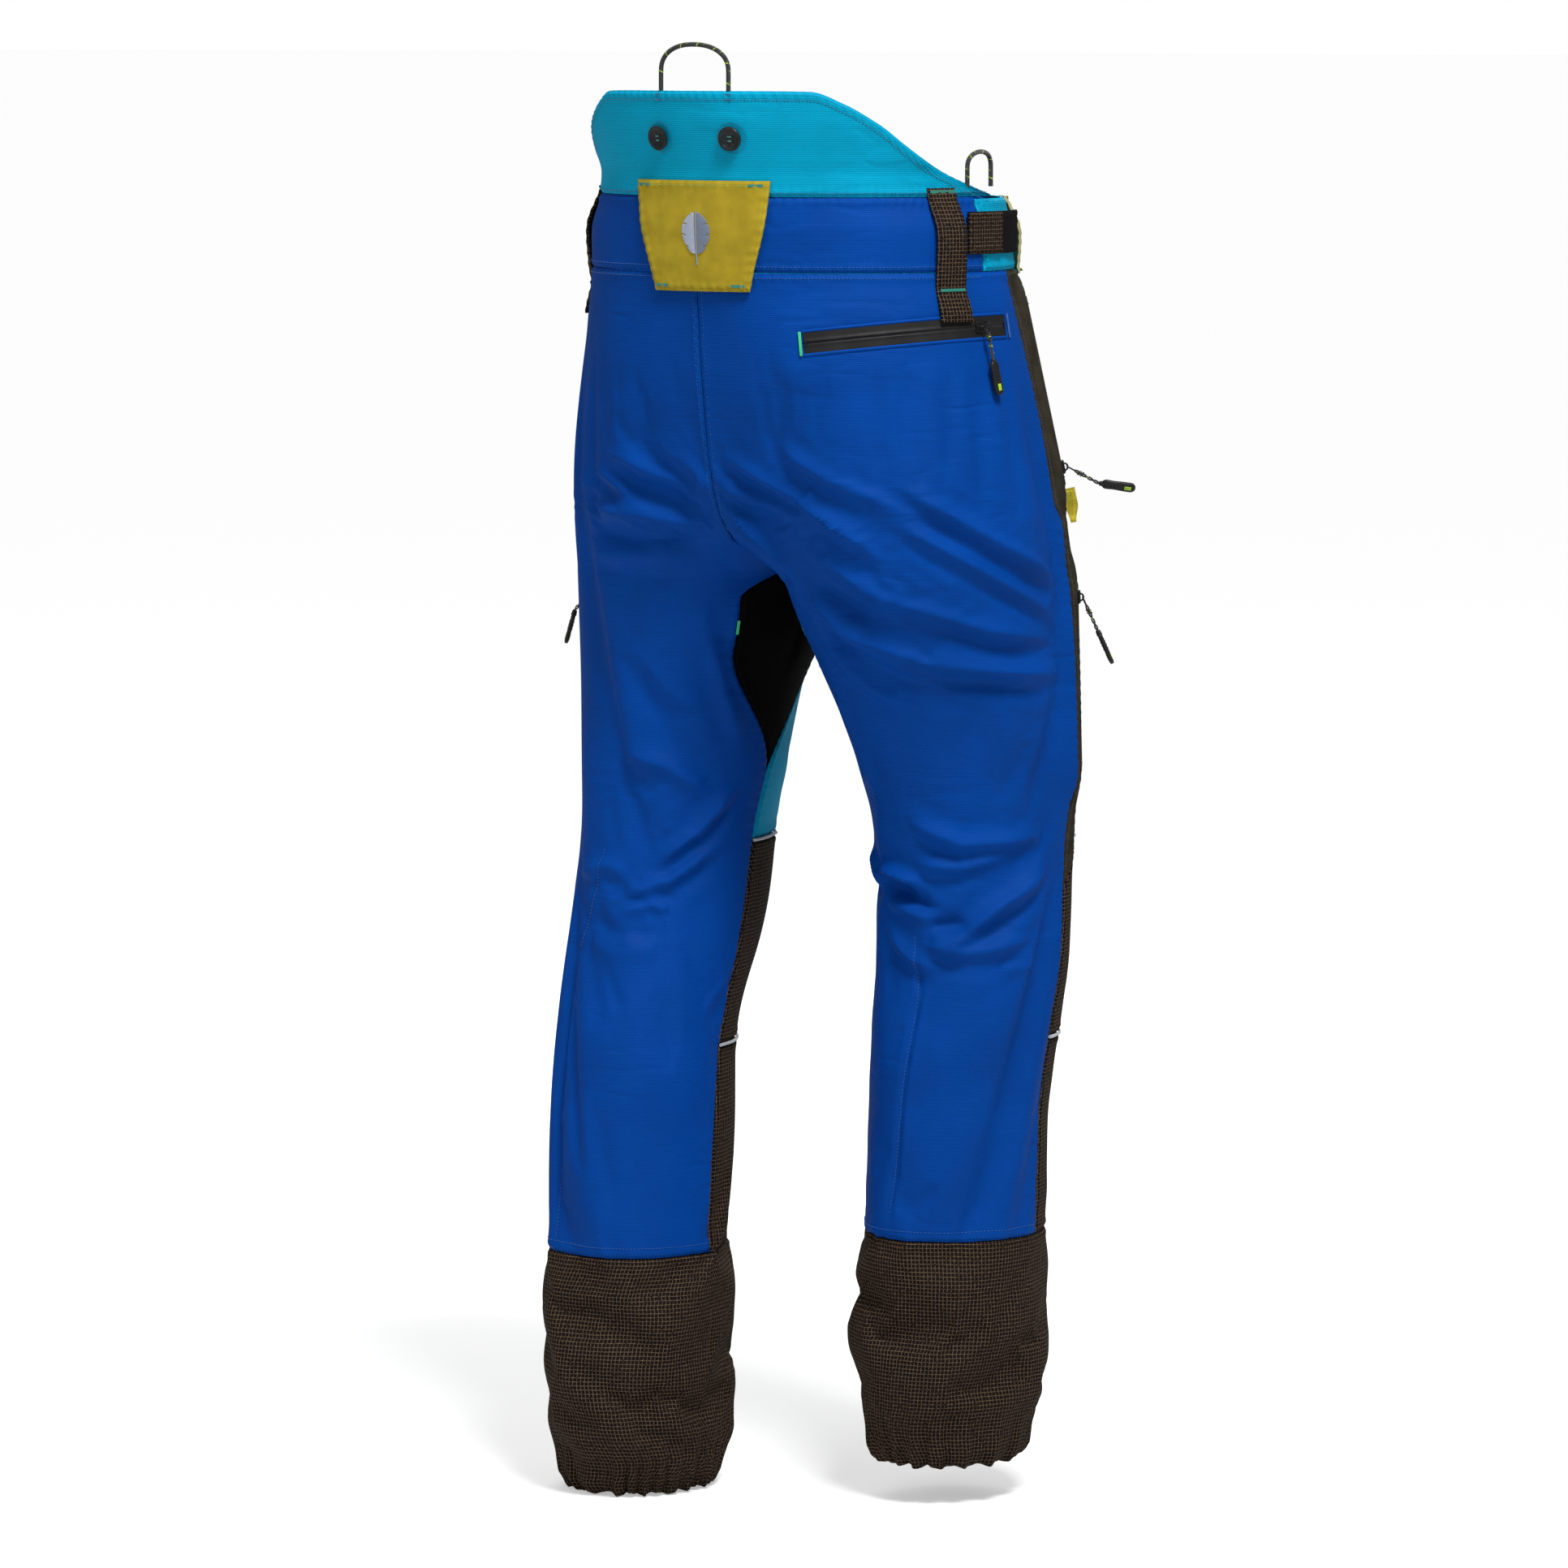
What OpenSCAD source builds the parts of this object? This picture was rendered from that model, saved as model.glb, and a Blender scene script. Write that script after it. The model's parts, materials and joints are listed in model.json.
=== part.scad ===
// Chainsaw protection trousers with a raised back, standing as worn.
// Frame: millimetres, +Z up, origin on the floor midway between the hems.
// The wearer faces -Y, so the wearer's left is +X.

/* [Body] */
// Height of the crotch above the left hem
crotch_h = 760; // [720:5:800]
// Height of the waistband's lower seam
band_h = 1008; // [1000:1:1015]
// Height of the waistband's upper seam
band_top_h = 1068; // [1060:1:1075]
// Height of the raised back at its middle
back_top_h = 1152; // [1130:1:1170]
// How far the left hem stands behind the right hem
stride = 115; // [0:5:140]
// How far the right hem is lifted above the left hem
lift = 30; // [0:1:40]
// Thickness of the outer fabric
cloth_t = 2.5; // [2:0.5:3]

/* [Legs] */
// Height of the seam between leg and cuff
cuff_h = 200; // [190:1:215]
// Height of the elastic hem
hem_h = 26; // [20:1:30]
// Lower edge of the knee panel
knee_lo_h = 368; // [355:1:380]
// Upper edge of the knee panel
knee_hi_h = 536; // [525:1:545]
// Thickness of the cut protection pad
guard_t = 7; // [5:1:9]

/* [Fastenings] */
// Radius of a brace button
button_r = 10; // [9:0.5:11]
// Diameter of the loop cord
cord_d = 3.8; // [3:0.1:4.5]
// Width of a belt loop
loop_w = 26; // [22:1:30]
// Width of a zip's covering tape
zip_w = 19; // [16:1:21]
// Length of a moulded puller grip
grip_l = 28; // [24:1:32]

/* [Hidden] */
$fn = 48;
LEFT = 1;
RIGHT = -1;
seam = 0.4;          // gap between two panels that are sewn together

// Cross-sections of one leg: height, half distance between the leg centres, fore and aft centre,
// half width, half depth. Above the crotch the two sections overlap and are cut at the middle.
STATIONS = [
    [0, 115, 14, 59, 66], [26, 115, 14, 62, 69], [60, 117, 15, 70, 76], [100, 118, 16, 74, 80],
    [160, 120, 13, 74, 80], [200, 121, 11, 71, 77], [300, 124, 3, 69, 78], [368, 127, -6, 71, 80],
    [448, 129, -22, 74, 81], [536, 129, -31, 75, 85], [595, 126, -34, 82, 93], [661, 120, -32, 92, 105],
    [720, 112, -27, 102, 118], [760, 108.5, -23, 105, 127], [828, 87, -14, 121, 139], [900, 60, -7, 139, 145],
    [960, 30, -3, 156, 147], [1008, 8, 2, 171, 145], [1040, 2, 4, 177, 143], [1068, 0, 3, 170, 143],
    [1085, 0, 3, 169, 143], [1100, 0, 2, 174, 146], [1130, 0, 1, 182, 152], [1170, 0, 2, 183, 154]
];

function station(h, column) = lookup(h, [for (s = STATIONS) [s[0], s[column]]]);
function mix(a, b, t) = a + (b - a) * t;
function smooth(t) = let (c = max(0, min(1, t))) c * c * (3 - 2 * c);

// Angle from the outer side to the centre seam, or to the inseam below the crotch
function seam_angle(h) = h <= crotch_h ? 180 : acos(-min(1, station(h, 1) / station(h, 3)));
function stance(side, h) = side * stride / 2 * max(0, 1 - pow(h / crotch_h, 2));
function raised(side, h) = side == RIGHT ? lift * max(0, 1 - h / crotch_h) : 0;

// A point on the body surface, or off millimetres outside it. turn runs from -1 at the front seam,
// past 0 at the outer side, to 1 at the back seam.
function skin_at(side, angle, h, off) = [
    side * max(seam / 2, station(h, 1) + (station(h, 3) + off) * cos(angle)),
    station(h, 2) + (station(h, 4) + off) * sin(angle) + stance(side, h),
    h + raised(side, h)
];
function skin(side, turn, h, off) = skin_at(side, turn * seam_angle(h), h, off);

// Closed slab between two equal grids of points, each a list of rows
module slab(outer, inner, flip) {
    rows = len(outer);
    cols = len(outer[0]);
    size = rows * cols;
    points = [for (g = [outer, inner]) for (r = g) for (p = r) p];
    function at(layer, r, c) = layer * size + r * cols + c;
    function quad(a, b, c, d) = [[a, b, c], [a, c, d]];
    faces = [
        for (r = [0:rows - 2]) for (c = [0:cols - 2]) each concat(
            quad(at(0, r, c), at(0, r, c + 1), at(0, r + 1, c + 1), at(0, r + 1, c)),
            quad(at(1, r, c), at(1, r + 1, c), at(1, r + 1, c + 1), at(1, r, c + 1))),
        for (r = [0:rows - 2]) each concat(
            quad(at(0, r, 0), at(0, r + 1, 0), at(1, r + 1, 0), at(1, r, 0)),
            quad(at(0, r + 1, cols - 1), at(0, r, cols - 1), at(1, r, cols - 1), at(1, r + 1, cols - 1))),
        for (c = [0:cols - 2]) each concat(
            quad(at(0, 0, c + 1), at(0, 0, c), at(1, 0, c), at(1, 0, c + 1)),
            quad(at(0, rows - 1, c), at(0, rows - 1, c + 1), at(1, rows - 1, c + 1), at(1, rows - 1, c)))
    ];
    polyhedron(points, flip ? faces : [for (f = faces) [f[2], f[1], f[0]]], convexity = 8);
}

// One piece of fabric on one side. heights lists its rows; from_turn and to_turn give its edges.
module panel(side, heights, cols, from_turn, to_turn, off = 0, t = cloth_t) {
    function grid(o) = [
        for (h = heights) [
            for (c = [0:cols]) skin(side, mix(from_turn(h), to_turn(h), c / cols), h, o)
        ]
    ];
    slab(grid(off + t), grid(off), side == RIGHT);
}

// A point at the waist, at an angle from the centre back (face 1) or the centre front (face -1)
function waist(a, h, o, face = 1) = [
    face * (station(h, 3) + station(h, 1) + o) * sin(a),
    station(h, 2) + face * (station(h, 4) + o) * cos(a),
    h
];

// Fabric that wraps the waist across the centre back or front
module wrap(angles, low, high, rows, face = 1) {
    function grid(o) = [
        for (r = [0:rows]) [for (a = angles) waist(a, mix(low(a), high(a), r / rows), o, face)]
    ];
    slab(grid(cloth_t), grid(0), true);
}

// Strap that lies over the body, through rows of [height, gap to the fabric, half angle it spans]
module strap(rows, middle, thick, cols, at) {
    function grid(o) = [
        for (r = rows) [for (c = [-cols:cols]) at(middle + r[2] * c / cols, r[0], cloth_t + r[1] + o)]
    ];
    slab(grid(thick), grid(0), true);
}

// A closed tube of fabric around one leg
module leg_tube(side, heights, cols, off = 0, t = cloth_t) {
    difference() {
        loft(side, heights, cols, off + t);
        loft(side, concat([heights[0] - 1], heights, [heights[len(heights) - 1] + 1]), cols, off);
    }
}
module loft(side, heights, cols, off) {
    rows = len(heights);
    points = [for (h = heights) for (c = [0:cols - 1]) skin_at(side, 360 * c / cols, h, off)];
    function at(r, c) = r * cols + c % cols;
    faces = [
        [for (c = [0:cols - 1]) at(0, c)],
        [for (c = [0:cols - 1]) at(rows - 1, cols - 1 - c)],
        for (r = [0:rows - 2]) for (c = [0:cols - 1]) each [
            [at(r, c), at(r + 1, c), at(r + 1, c + 1)],
            [at(r, c), at(r + 1, c + 1), at(r, c + 1)]
        ]
    ];
    polyhedron(points, side == LEFT ? faces : [for (f = faces) [for (i = [len(f) - 1:-1:0]) f[i]]]);
}

// Panel edges, as turns that depend on height
out_back = function (h) h > band_h - 60 ? -0.15 : mix(-0.05, -0.15, (h - 480) / 470);
out_front = function (h) out_back(h) - 0.17 * smooth((h - 480) / 200) - 0.006;
gusset_lo_h = 588;
gusset_hi_h = crotch_h + 4;
function gusset_width(h) = 0.2 * (h < 712
    ? smooth((h - gusset_lo_h) / (712 - gusset_lo_h))
    : smooth((gusset_hi_h - h) / (gusset_hi_h - 712)));
LEG_ROWS = [448, 500, 536];
THIGH_ROWS = [595, 625, 661, 690, 712, 735, 750, 760];
SEAT_ROWS = [768, 780, 800, 828, 864, 900, 930, 960, 985, band_h - seam];

// ---- Outer fabric -----------------------------------------------------------------------

module back_panel(side) {
    color("royalblue")
    panel(side, concat([cuff_h + seam, 250, 300, 340, 368, 400], LEG_ROWS, THIGH_ROWS, SEAT_ROWS), 9,
        function (h) out_back(h), function (h) 0.997 - gusset_width(h));
}

module front_panel(side) {
    color("deepskyblue")
    panel(side, concat([knee_hi_h + seam], THIGH_ROWS, SEAT_ROWS), 6,
        function (h) -0.997 + gusset_width(h), function (h) out_front(h) - 0.006);
}

module side_panel(side) {
    color("darkolivegreen")
    panel(side, concat([knee_hi_h + seam, 560], THIGH_ROWS, SEAT_ROWS), 2,
        function (h) out_front(h), function (h) out_back(h) - 0.006);
}

module gusset(side) {
    color("black")
    panel(side, [600, 625, 661, 690, 712, 735, 750, 757], 6,
        function (h) 1.003 - gusset_width(h), function (h) 0.997 + gusset_width(h));
}

module knee_panel(side) {
    color("saddlebrown")
    panel(side, [knee_lo_h + 3.4, 400, 448, 500, 522], 8,
        function (h) -0.997, function (h) out_back(h) - 0.006);
}

module shin_panel(side) {
    color("saddlebrown")
    panel(side, [cuff_h + seam, 250, 300, knee_lo_h - 3], 8,
        function (h) -0.997, function (h) -0.06);
}

module cuff(side) {
    color("saddlebrown") leg_tube(side, [2, hem_h, 60, 100, 160, cuff_h - seam], 26);
}

// Ring of elastic that gathers the hem, held inside the cuff
module hem_elastic(side) {
    color("dimgray") leg_tube(side, [4, hem_h - 4], 26, off = -3.5, t = 1.5);
}

module piping(side, low) {
    color("silver")
    panel(side, [low, low + 5], 8, function (h) -0.99, function (h) out_back(h) - 0.01, off = -0.5, t = 4);
}

// Pad of long cut-stopping fibres inside the front of the leg
module guard(side, heights) {
    color("gainsboro")
    panel(side, heights, 8,
        function (h) -0.84 + 0.1 * smooth((h - 640) / 120), function (h) -0.05, off = -4 - guard_t, t = guard_t);
}

module lining(side) {
    color("lightslategray")
    panel(side, [40, 100, 160, 200, 300, 368, 448, 536, 595, 661, 720, 758, 828, 900, 960, band_h - 8], 12,
        function (h) -0.95, function (h) 0.95, off = -14, t = 1);
}

// ---- Waist ------------------------------------------------------------------------------

band_join = 88;    // angle from the centre back where the two waistbands meet
function top_edge(a) = band_top_h + (back_top_h - band_top_h)
    * lookup(abs(a), [[32, 1], [41, 0.88], [50, 0.7], [59, 0.49], [70, 0.29], [85, 0.12], [100, 0.03]]);

module back_waistband() {
    color("mediumblue")
    wrap([for (a = [-band_join:8:band_join]) a], function (a) band_h + seam,
        function (a) band_top_h - seam, 2);
}

module front_waistband() {
    reach = 180 - band_join;
    half = [for (i = [0:10]) mix(0.3, reach - 0.3, i / 10)];
    color("deepskyblue") {
        wrap(half, function (a) band_h + seam, function (a) band_top_h - 2, 2, face = -1);
        wrap([for (i = [len(half) - 1:-1:0]) -half[i]], function (a) band_h + seam,
            function (a) band_top_h - 2, 2, face = -1);
    }
}

module raised_back() {
    color("deepskyblue")
    wrap([for (a = [-98:7:98]) a], function (a) band_top_h + seam, function (a) top_edge(a), 4);
}

// Wide tapered belt loop over the centre back
module back_belt_patch() {
    color("goldenrod")
    strap([[993, 3, 16.5], [1008, 3.2, 17.3], [1038, 3.5, 19.3], [1068, 2.5, 21.2], [1081, 1.2, 22]],
        0, 2, 4, function (a, h, o) waist(a, h, o));
}

// A belt loop: sewn at the top and near its foot, standing off between, with a loose tail
module side_belt_loops() {
    half = loop_w / 5.2;
    color("saddlebrown") for (s = [LEFT, RIGHT])
        strap([[972, 3, half], [981, 2.4, half], [992, 1.2, half], [1008, 4.5, half], [1036, 5.6, half],
            [1060, 4.2, half], [1074, 0.8, half]], s * 73, 1.6, 2, function (a, h, o)
            [s * (station(h, 1) + (station(h, 3) + o) * sin(abs(a))), station(h, 2) + (station(h, 4) + o) * cos(a), h]);
}

module front_belt_loops() {
    color("khaki") for (s = [-1, 1])
        strap([[1002, 3, 5], [1016, 4, 5], [1048, 4, 5], [1064, 0.8, 5]], s * 52, 1.4, 2,
            function (a, h, o) waist(a, h, o, -1));
}

// ---- Waist adjusters --------------------------------------------------------------------

// The waist's outer side is close to an arc about this upright axis
adjust_axis_x = 55.5;
adjust_r = 127.0;
tab_w = 34;

module waist_arc(side, r, t, from_angle, to_angle, low, high) {
    translate([side * adjust_axis_x, 0, low])
    rotate([0, 0, side == LEFT ? from_angle : 180 - to_angle])
    rotate_extrude(angle = to_angle - from_angle)
    translate([r, 0]) square([t, high - low]);
}

module adjuster_pads() {
    color("black") for (s = [LEFT, RIGHT]) waist_arc(s, adjust_r, 1.2, -28, 13, 1022, 1022 + tab_w);
}

module adjuster_tab(side) {
    color("saddlebrown") waist_arc(side, adjust_r + 1.4, 1.6, -7, 13, 1022.5, 1021.5 + tab_w);
}

// ---- Buttons and cord loops --------------------------------------------------------------

// Four-hole button with a raised rim and a short shank, facing +Y
module button() {
    rotate([-90, 0, 0]) difference() {
        union() {
            cylinder(r = button_r, h = 3);
            translate([0, 0, -1.1]) cylinder(r = 1.6, h = 1.2);
        }
        translate([0, 0, 2]) cylinder(r = button_r - 3, h = 2);
        for (x = [-1.6, 1.6], y = [-1.6, 1.6]) translate([x, y, 0.4]) cylinder(r = 0.8, h = 4);
    }
}

button_lean = -11;    // the raised back flares, so its buttons face a little down
module back_brace_buttons() {
    color("black") for (s = [-1, 1])
        translate(waist(s * 11, 1115, cloth_t + 1.9)) rotate([button_lean, 0, -s * 9]) button();
}

module front_brace_buttons() {
    color("black") for (s = [-1, 1])
        translate(waist(s * 20, 1038, cloth_t + 1.9, -1)) rotate([0, 0, 180 - s * 17]) button();
}

// An arch of cord with straight feet, standing on the XY plane along X
module cord_arch(span, height) {
    r = span / 2;
    rise = height - r;
    translate([0, 0, rise]) rotate([90, 0, 0]) rotate_extrude(angle = 180) translate([r, 0]) circle(d = cord_d);
    for (s = [-1, 1]) translate([s * r, 0, 0]) cylinder(d = cord_d, h = rise + 0.01);
}

module back_hang_loop() {
    color("black") translate([0, 152, back_top_h + 1]) cord_arch(66, 36);
}

module cord_loop(side) {
    color("black") translate([side * 170.5, -1, top_edge(82) + 1.5]) rotate([0, 0, 90]) cord_arch(38, 34);
}

// ---- Zips --------------------------------------------------------------------------------

// A zip is built flat: its length along +X, its outer side towards -Y, its inner face at Y = 0
module zip_cover(length) {
    color([0.12, 0.12, 0.12]) for (z = [-zip_w / 2, 0.3])
        translate([0, -1.2, z]) cube([length, 1.2, zip_w / 2 - 0.3]);
}

// The slider's eye stands on its cheek plate; its hole runs across the zip
eye_y = -5.6;
module slider_body() {
    color([0.2, 0.2, 0.2]) difference() {
        union() {
            translate([-5.5, -4, -4.5]) cube([11, 2.5, 9]);
            translate([-2.2, eye_y - 1.7, -1]) cube([4.4, 3.5, 2]);
        }
        translate([0, eye_y, -3]) cylinder(r = 1.15, h = 6);
    }
}

ring_r = 3.6;
module pull_ring() { rotate_extrude() translate([ring_r, 0]) circle(r = 0.55); }

// Link and moulded grip, hanging along -Z from the foot of a ring at the origin
module pull_grip() {
    translate([0, 0, -12]) cylinder(r = 1.2, h = 12);
    translate([0, 0, -26]) cylinder(r = 0.9, h = 15);
    translate([0, 1.9, 0]) hull() for (z = [-29, -29 - grip_l + 9])
        translate([0, 0, z]) rotate([90, 0, 0]) cylinder(r = 4.5, h = 3.8, $fn = 32);
}

// The rear pocket's zip follows an arc about a leaning axis
rear_axis = [-38, -6, 946];
rear_r = 152.6;
rear_tilt = 7;
rear_from = 112;
rear_to = 181;
rear_flare = 0.05;
module rear_arc_frame() { translate(rear_axis) rotate([0, rear_tilt, 0]) children(); }

module rear_pocket_zip() {
    color([0.12, 0.12, 0.12]) rear_arc_frame() rotate([0, 0, rear_from])
    for (low = [-zip_w / 2, 0.3]) let (high = low + zip_w / 2 - 0.3)
        rotate_extrude(angle = rear_to - rear_from)
        polygon([[rear_r - low * rear_flare, low], [rear_r + 1.2 - low * rear_flare, low],
            [rear_r + 1.2 - high * rear_flare, high], [rear_r - high * rear_flare, high]]);
}

rear_park = 169;    // where the slider stands when the pocket is closed
module rear_slider_frame() {
    rear_arc_frame() rotate([0, 0, rear_park]) translate([rear_r, 0, 0]) rotate([0, 0, 90]) children();
}
module rear_zip_slider() { rear_slider_frame() slider_body(); }

// The ring stands out from the eye, so the grip hangs clear of the fabric
module rear_zip_puller() {
    color([0.1, 0.1, 0.1]) rear_slider_frame() translate([0, eye_y - ring_r, 0]) rotate([0, -rear_tilt, 0]) {
        rotate([0, 90, 0]) pull_ring();
        translate([0, 0, -ring_r]) pull_grip();
    }
}

// Flat bag behind the rear pocket's zip
module rear_pocket_bag() {
    color("darkslategray")
    panel(RIGHT, [820, 864, 900, 930, 946], 5, function (h) 0.1, function (h) 0.62, off = -3, t = 1.5);
}

// A straight zip on the outer side. It starts at low, leans inwards by lean and faces turn degrees
// away from straight outwards.
module side_zip_frame(side, low, lean, turn) {
    translate([side * low[0], low[1], low[2]]) rotate([0, -side * lean, side * turn])
    rotate([0, -90, side * 90]) children();
}

hip_l = 148;
module hip_frame(side) { side_zip_frame(side, [188, -98.9, 836], 12, -34) children(); }

thigh_l = 145;
// As worn, the right leg's pocket sits further round to the front than the left's
module thigh_frame(side) {
    translate([0, stance(side, 672), raised(side, 672)])
    if (side == LEFT) side_zip_frame(side, [214.2, -26, 600], -1.3, 0) children();
    else side_zip_frame(side, [202.6, -90.8, 600], 1.5, -30) children();
}

module hip_pocket_zips() {
    for (s = [LEFT, RIGHT]) hip_frame(s) zip_cover(hip_l);
}

module thigh_zip(side) { thigh_frame(side) zip_cover(thigh_l); }

hip_park = 10;
thigh_park = thigh_l - 8;
module side_zip_slider(position) { translate([position, 0, 0]) slider_body(); }

// The ring lies along the zip, and the grip hangs down and stands out by swing degrees
module side_zip_puller(position, swing) {
    color([0.1, 0.1, 0.1]) translate([position, eye_y, 0]) rotate([0, 90, 0]) rotate([-swing, 0, 0])
    translate([0, 0, -ring_r]) {
        rotate([90, 0, 0]) pull_ring();
        translate([0, 0, -ring_r]) pull_grip();
    }
}

// ---- Fly and front closure ----------------------------------------------------------------

fly_y = -155.4;
module fly_zip() {
    translate([0, fly_y, 895]) rotate([0, -90, 0]) zip_cover(105);
}

module fly_zip_slider() {
    color([0.2, 0.2, 0.2]) {
        translate([0, fly_y, 990]) rotate([0, -90, 0]) translate([-5.5, -4, -4.5]) cube([11, 2.6, 9]);
        translate([0, fly_y - 3.9, 990]) hull() for (z = [-2, -20])
            translate([0, 0, z]) rotate([90, 0, 0]) cylinder(r = 3, h = 1.2, $fn = 32);
    }
}

// Flap of fabric over the zip, sewn down along its left edge
module fly_cover() {
    color("deepskyblue") {
        translate([-28, fly_y - 7.2, 885]) cube([46, 1.6, 120]);
        translate([14, fly_y - 5.7, 885]) cube([4, 5.2, 120]);
    }
}

tab_root_x = 42;
tab_y = -149;
snap_at = [-18, tab_y, 1038];
module closure_tab() {
    color("deepskyblue") difference() {
        translate([-34, tab_y, 1014]) cube([34 + tab_root_x, 2, 50]);
        translate(snap_at) translate([0, -1, 0]) rotate([-90, 0, 0]) cylinder(r = 2.2, h = 6);
    }
}

module snap_cap() {
    color([0.3, 0.3, 0.3]) translate(snap_at) rotate([90, 0, 0]) difference() {
        cylinder(r = 7.5, h = 2.2);
        translate([0, 0, -1]) cylinder(r = 2.2, h = 2.4);
    }
}

module snap_stud() {
    color([0.3, 0.3, 0.3]) translate([snap_at[0], tab_y + 6.4, snap_at[2]]) rotate([90, 0, 0]) {
        cylinder(r = 6, h = 2.8);
        cylinder(r = 1.9, h = 7.6);
    }
}

// ---- Output --------------------------------------------------------------------------------

back_panel(LEFT);  // left_back_panel
back_panel(RIGHT);  // right_back_panel
front_panel(LEFT);  // left_front_panel
front_panel(RIGHT);  // right_front_panel
side_panel(LEFT);  // left_side_panel
side_panel(RIGHT);  // right_side_panel
gusset(LEFT);  // left_gusset
gusset(RIGHT);  // right_gusset
knee_panel(LEFT);  // left_knee_panel
knee_panel(RIGHT);  // right_knee_panel
shin_panel(LEFT);  // left_shin_panel
shin_panel(RIGHT);  // right_shin_panel
cuff(LEFT);  // left_cuff
cuff(RIGHT);  // right_cuff
hem_elastic(LEFT);  // left_hem_elastic
hem_elastic(RIGHT);  // right_hem_elastic
piping(LEFT, knee_hi_h - 9);  // left_knee_piping
piping(RIGHT, knee_hi_h - 9);  // right_knee_piping
piping(LEFT, knee_lo_h - 2.6);  // left_shin_piping
piping(RIGHT, knee_lo_h - 2.6);  // right_shin_piping
guard(LEFT, [480, 536, 595, 661, 712]);  // left_thigh_guard
guard(RIGHT, [480, 536, 595, 661, 712]);  // right_thigh_guard
guard(LEFT, [70, 100, 160, 200, 300, 368, 425]);  // left_shin_guard
guard(RIGHT, [70, 100, 160, 200, 300, 368, 425]);  // right_shin_guard
for (s = [LEFT, RIGHT]) lining(s);  // leg_linings
back_waistband();
front_waistband();
raised_back();
back_belt_patch();
side_belt_loops();
front_belt_loops();
adjuster_pads();
adjuster_tab(LEFT);  // left_adjuster_tab
adjuster_tab(RIGHT);  // right_adjuster_tab
back_brace_buttons();
front_brace_buttons();
back_hang_loop();
cord_loop(LEFT);  // left_cord_loop
cord_loop(RIGHT);  // right_cord_loop
rear_pocket_zip();
rear_pocket_bag();
rear_zip_slider();
rear_zip_puller();
hip_pocket_zips();
hip_frame(LEFT) side_zip_slider(hip_park);  // left_hip_zip_slider
hip_frame(LEFT) side_zip_puller(hip_park, 22);  // left_hip_zip_puller
hip_frame(RIGHT) side_zip_slider(hip_park);  // right_hip_zip_slider
hip_frame(RIGHT) side_zip_puller(hip_park, 50);  // right_hip_zip_puller
thigh_zip(LEFT);  // left_thigh_zip
thigh_frame(LEFT) side_zip_slider(thigh_park);  // left_thigh_zip_slider
thigh_frame(LEFT) side_zip_puller(thigh_park, 12);  // left_thigh_zip_puller
thigh_zip(RIGHT);  // right_thigh_zip
thigh_frame(RIGHT) side_zip_slider(thigh_park);  // right_thigh_zip_slider
thigh_frame(RIGHT) side_zip_puller(thigh_park, 22);  // right_thigh_zip_puller
fly_zip();
fly_zip_slider();
fly_cover();
closure_tab();
snap_cap();
snap_stud();
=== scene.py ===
"""Looks of the chainsaw protection trousers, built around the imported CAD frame.

Lengths in this file are millimetres and turn into metres when a mesh is made. The wearer faces -Y and
the wearer's left is +X. A place on the garment is (side, turn, height): turn runs from -1 at the front
seam, past 0 at the outer side, to 1 at the back seam.
"""

import json
import math

import bpy
import numpy as np
from mathutils import Matrix, Vector

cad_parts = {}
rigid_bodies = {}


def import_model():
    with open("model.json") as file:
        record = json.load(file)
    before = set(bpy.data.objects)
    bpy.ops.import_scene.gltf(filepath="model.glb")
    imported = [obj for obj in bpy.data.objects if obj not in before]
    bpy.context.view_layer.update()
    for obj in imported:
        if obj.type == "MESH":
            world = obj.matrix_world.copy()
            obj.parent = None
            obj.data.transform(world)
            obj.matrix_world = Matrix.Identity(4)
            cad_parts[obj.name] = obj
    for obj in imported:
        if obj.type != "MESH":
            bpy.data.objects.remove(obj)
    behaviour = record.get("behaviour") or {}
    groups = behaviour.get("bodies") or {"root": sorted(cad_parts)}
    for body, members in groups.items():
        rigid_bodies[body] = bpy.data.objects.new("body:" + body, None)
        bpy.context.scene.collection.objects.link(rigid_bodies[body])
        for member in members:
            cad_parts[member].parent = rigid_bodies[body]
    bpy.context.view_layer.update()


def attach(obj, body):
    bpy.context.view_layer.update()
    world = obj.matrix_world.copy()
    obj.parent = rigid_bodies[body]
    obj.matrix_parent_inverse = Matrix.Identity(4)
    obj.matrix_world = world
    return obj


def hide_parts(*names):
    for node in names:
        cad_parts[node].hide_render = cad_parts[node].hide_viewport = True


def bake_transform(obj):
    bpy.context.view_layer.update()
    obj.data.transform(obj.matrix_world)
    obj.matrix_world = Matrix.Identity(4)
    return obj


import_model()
for shown in list(bpy.data.objects):
    if shown.type in ("CAMERA", "LIGHT"):
        bpy.data.objects.remove(shown)

LEFT, RIGHT = 1, -1
SIDE_NAME = {LEFT: "left", RIGHT: "right"}
MM = 0.001
CROTCH, STRIDE, LIFT = 760.0, 115.0, 30.0
CLOTH = 2.5          # the CAD panels; the leg panels shown are LEG_CLOTH thick
LEG_CLOTH = 1.4
BAND, BAND_TOP, BACK_TOP = 1008.0, 1068.0, 1152.0
CUFF, KNEE_LOW, KNEE_HIGH = 200.0, 368.0, 536.0
SPLIT = 600.0       # height where the legs' long pieces are cut between the hip and the knee


# ---- Body shape ---------------------------------------------------------------------------------

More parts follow.
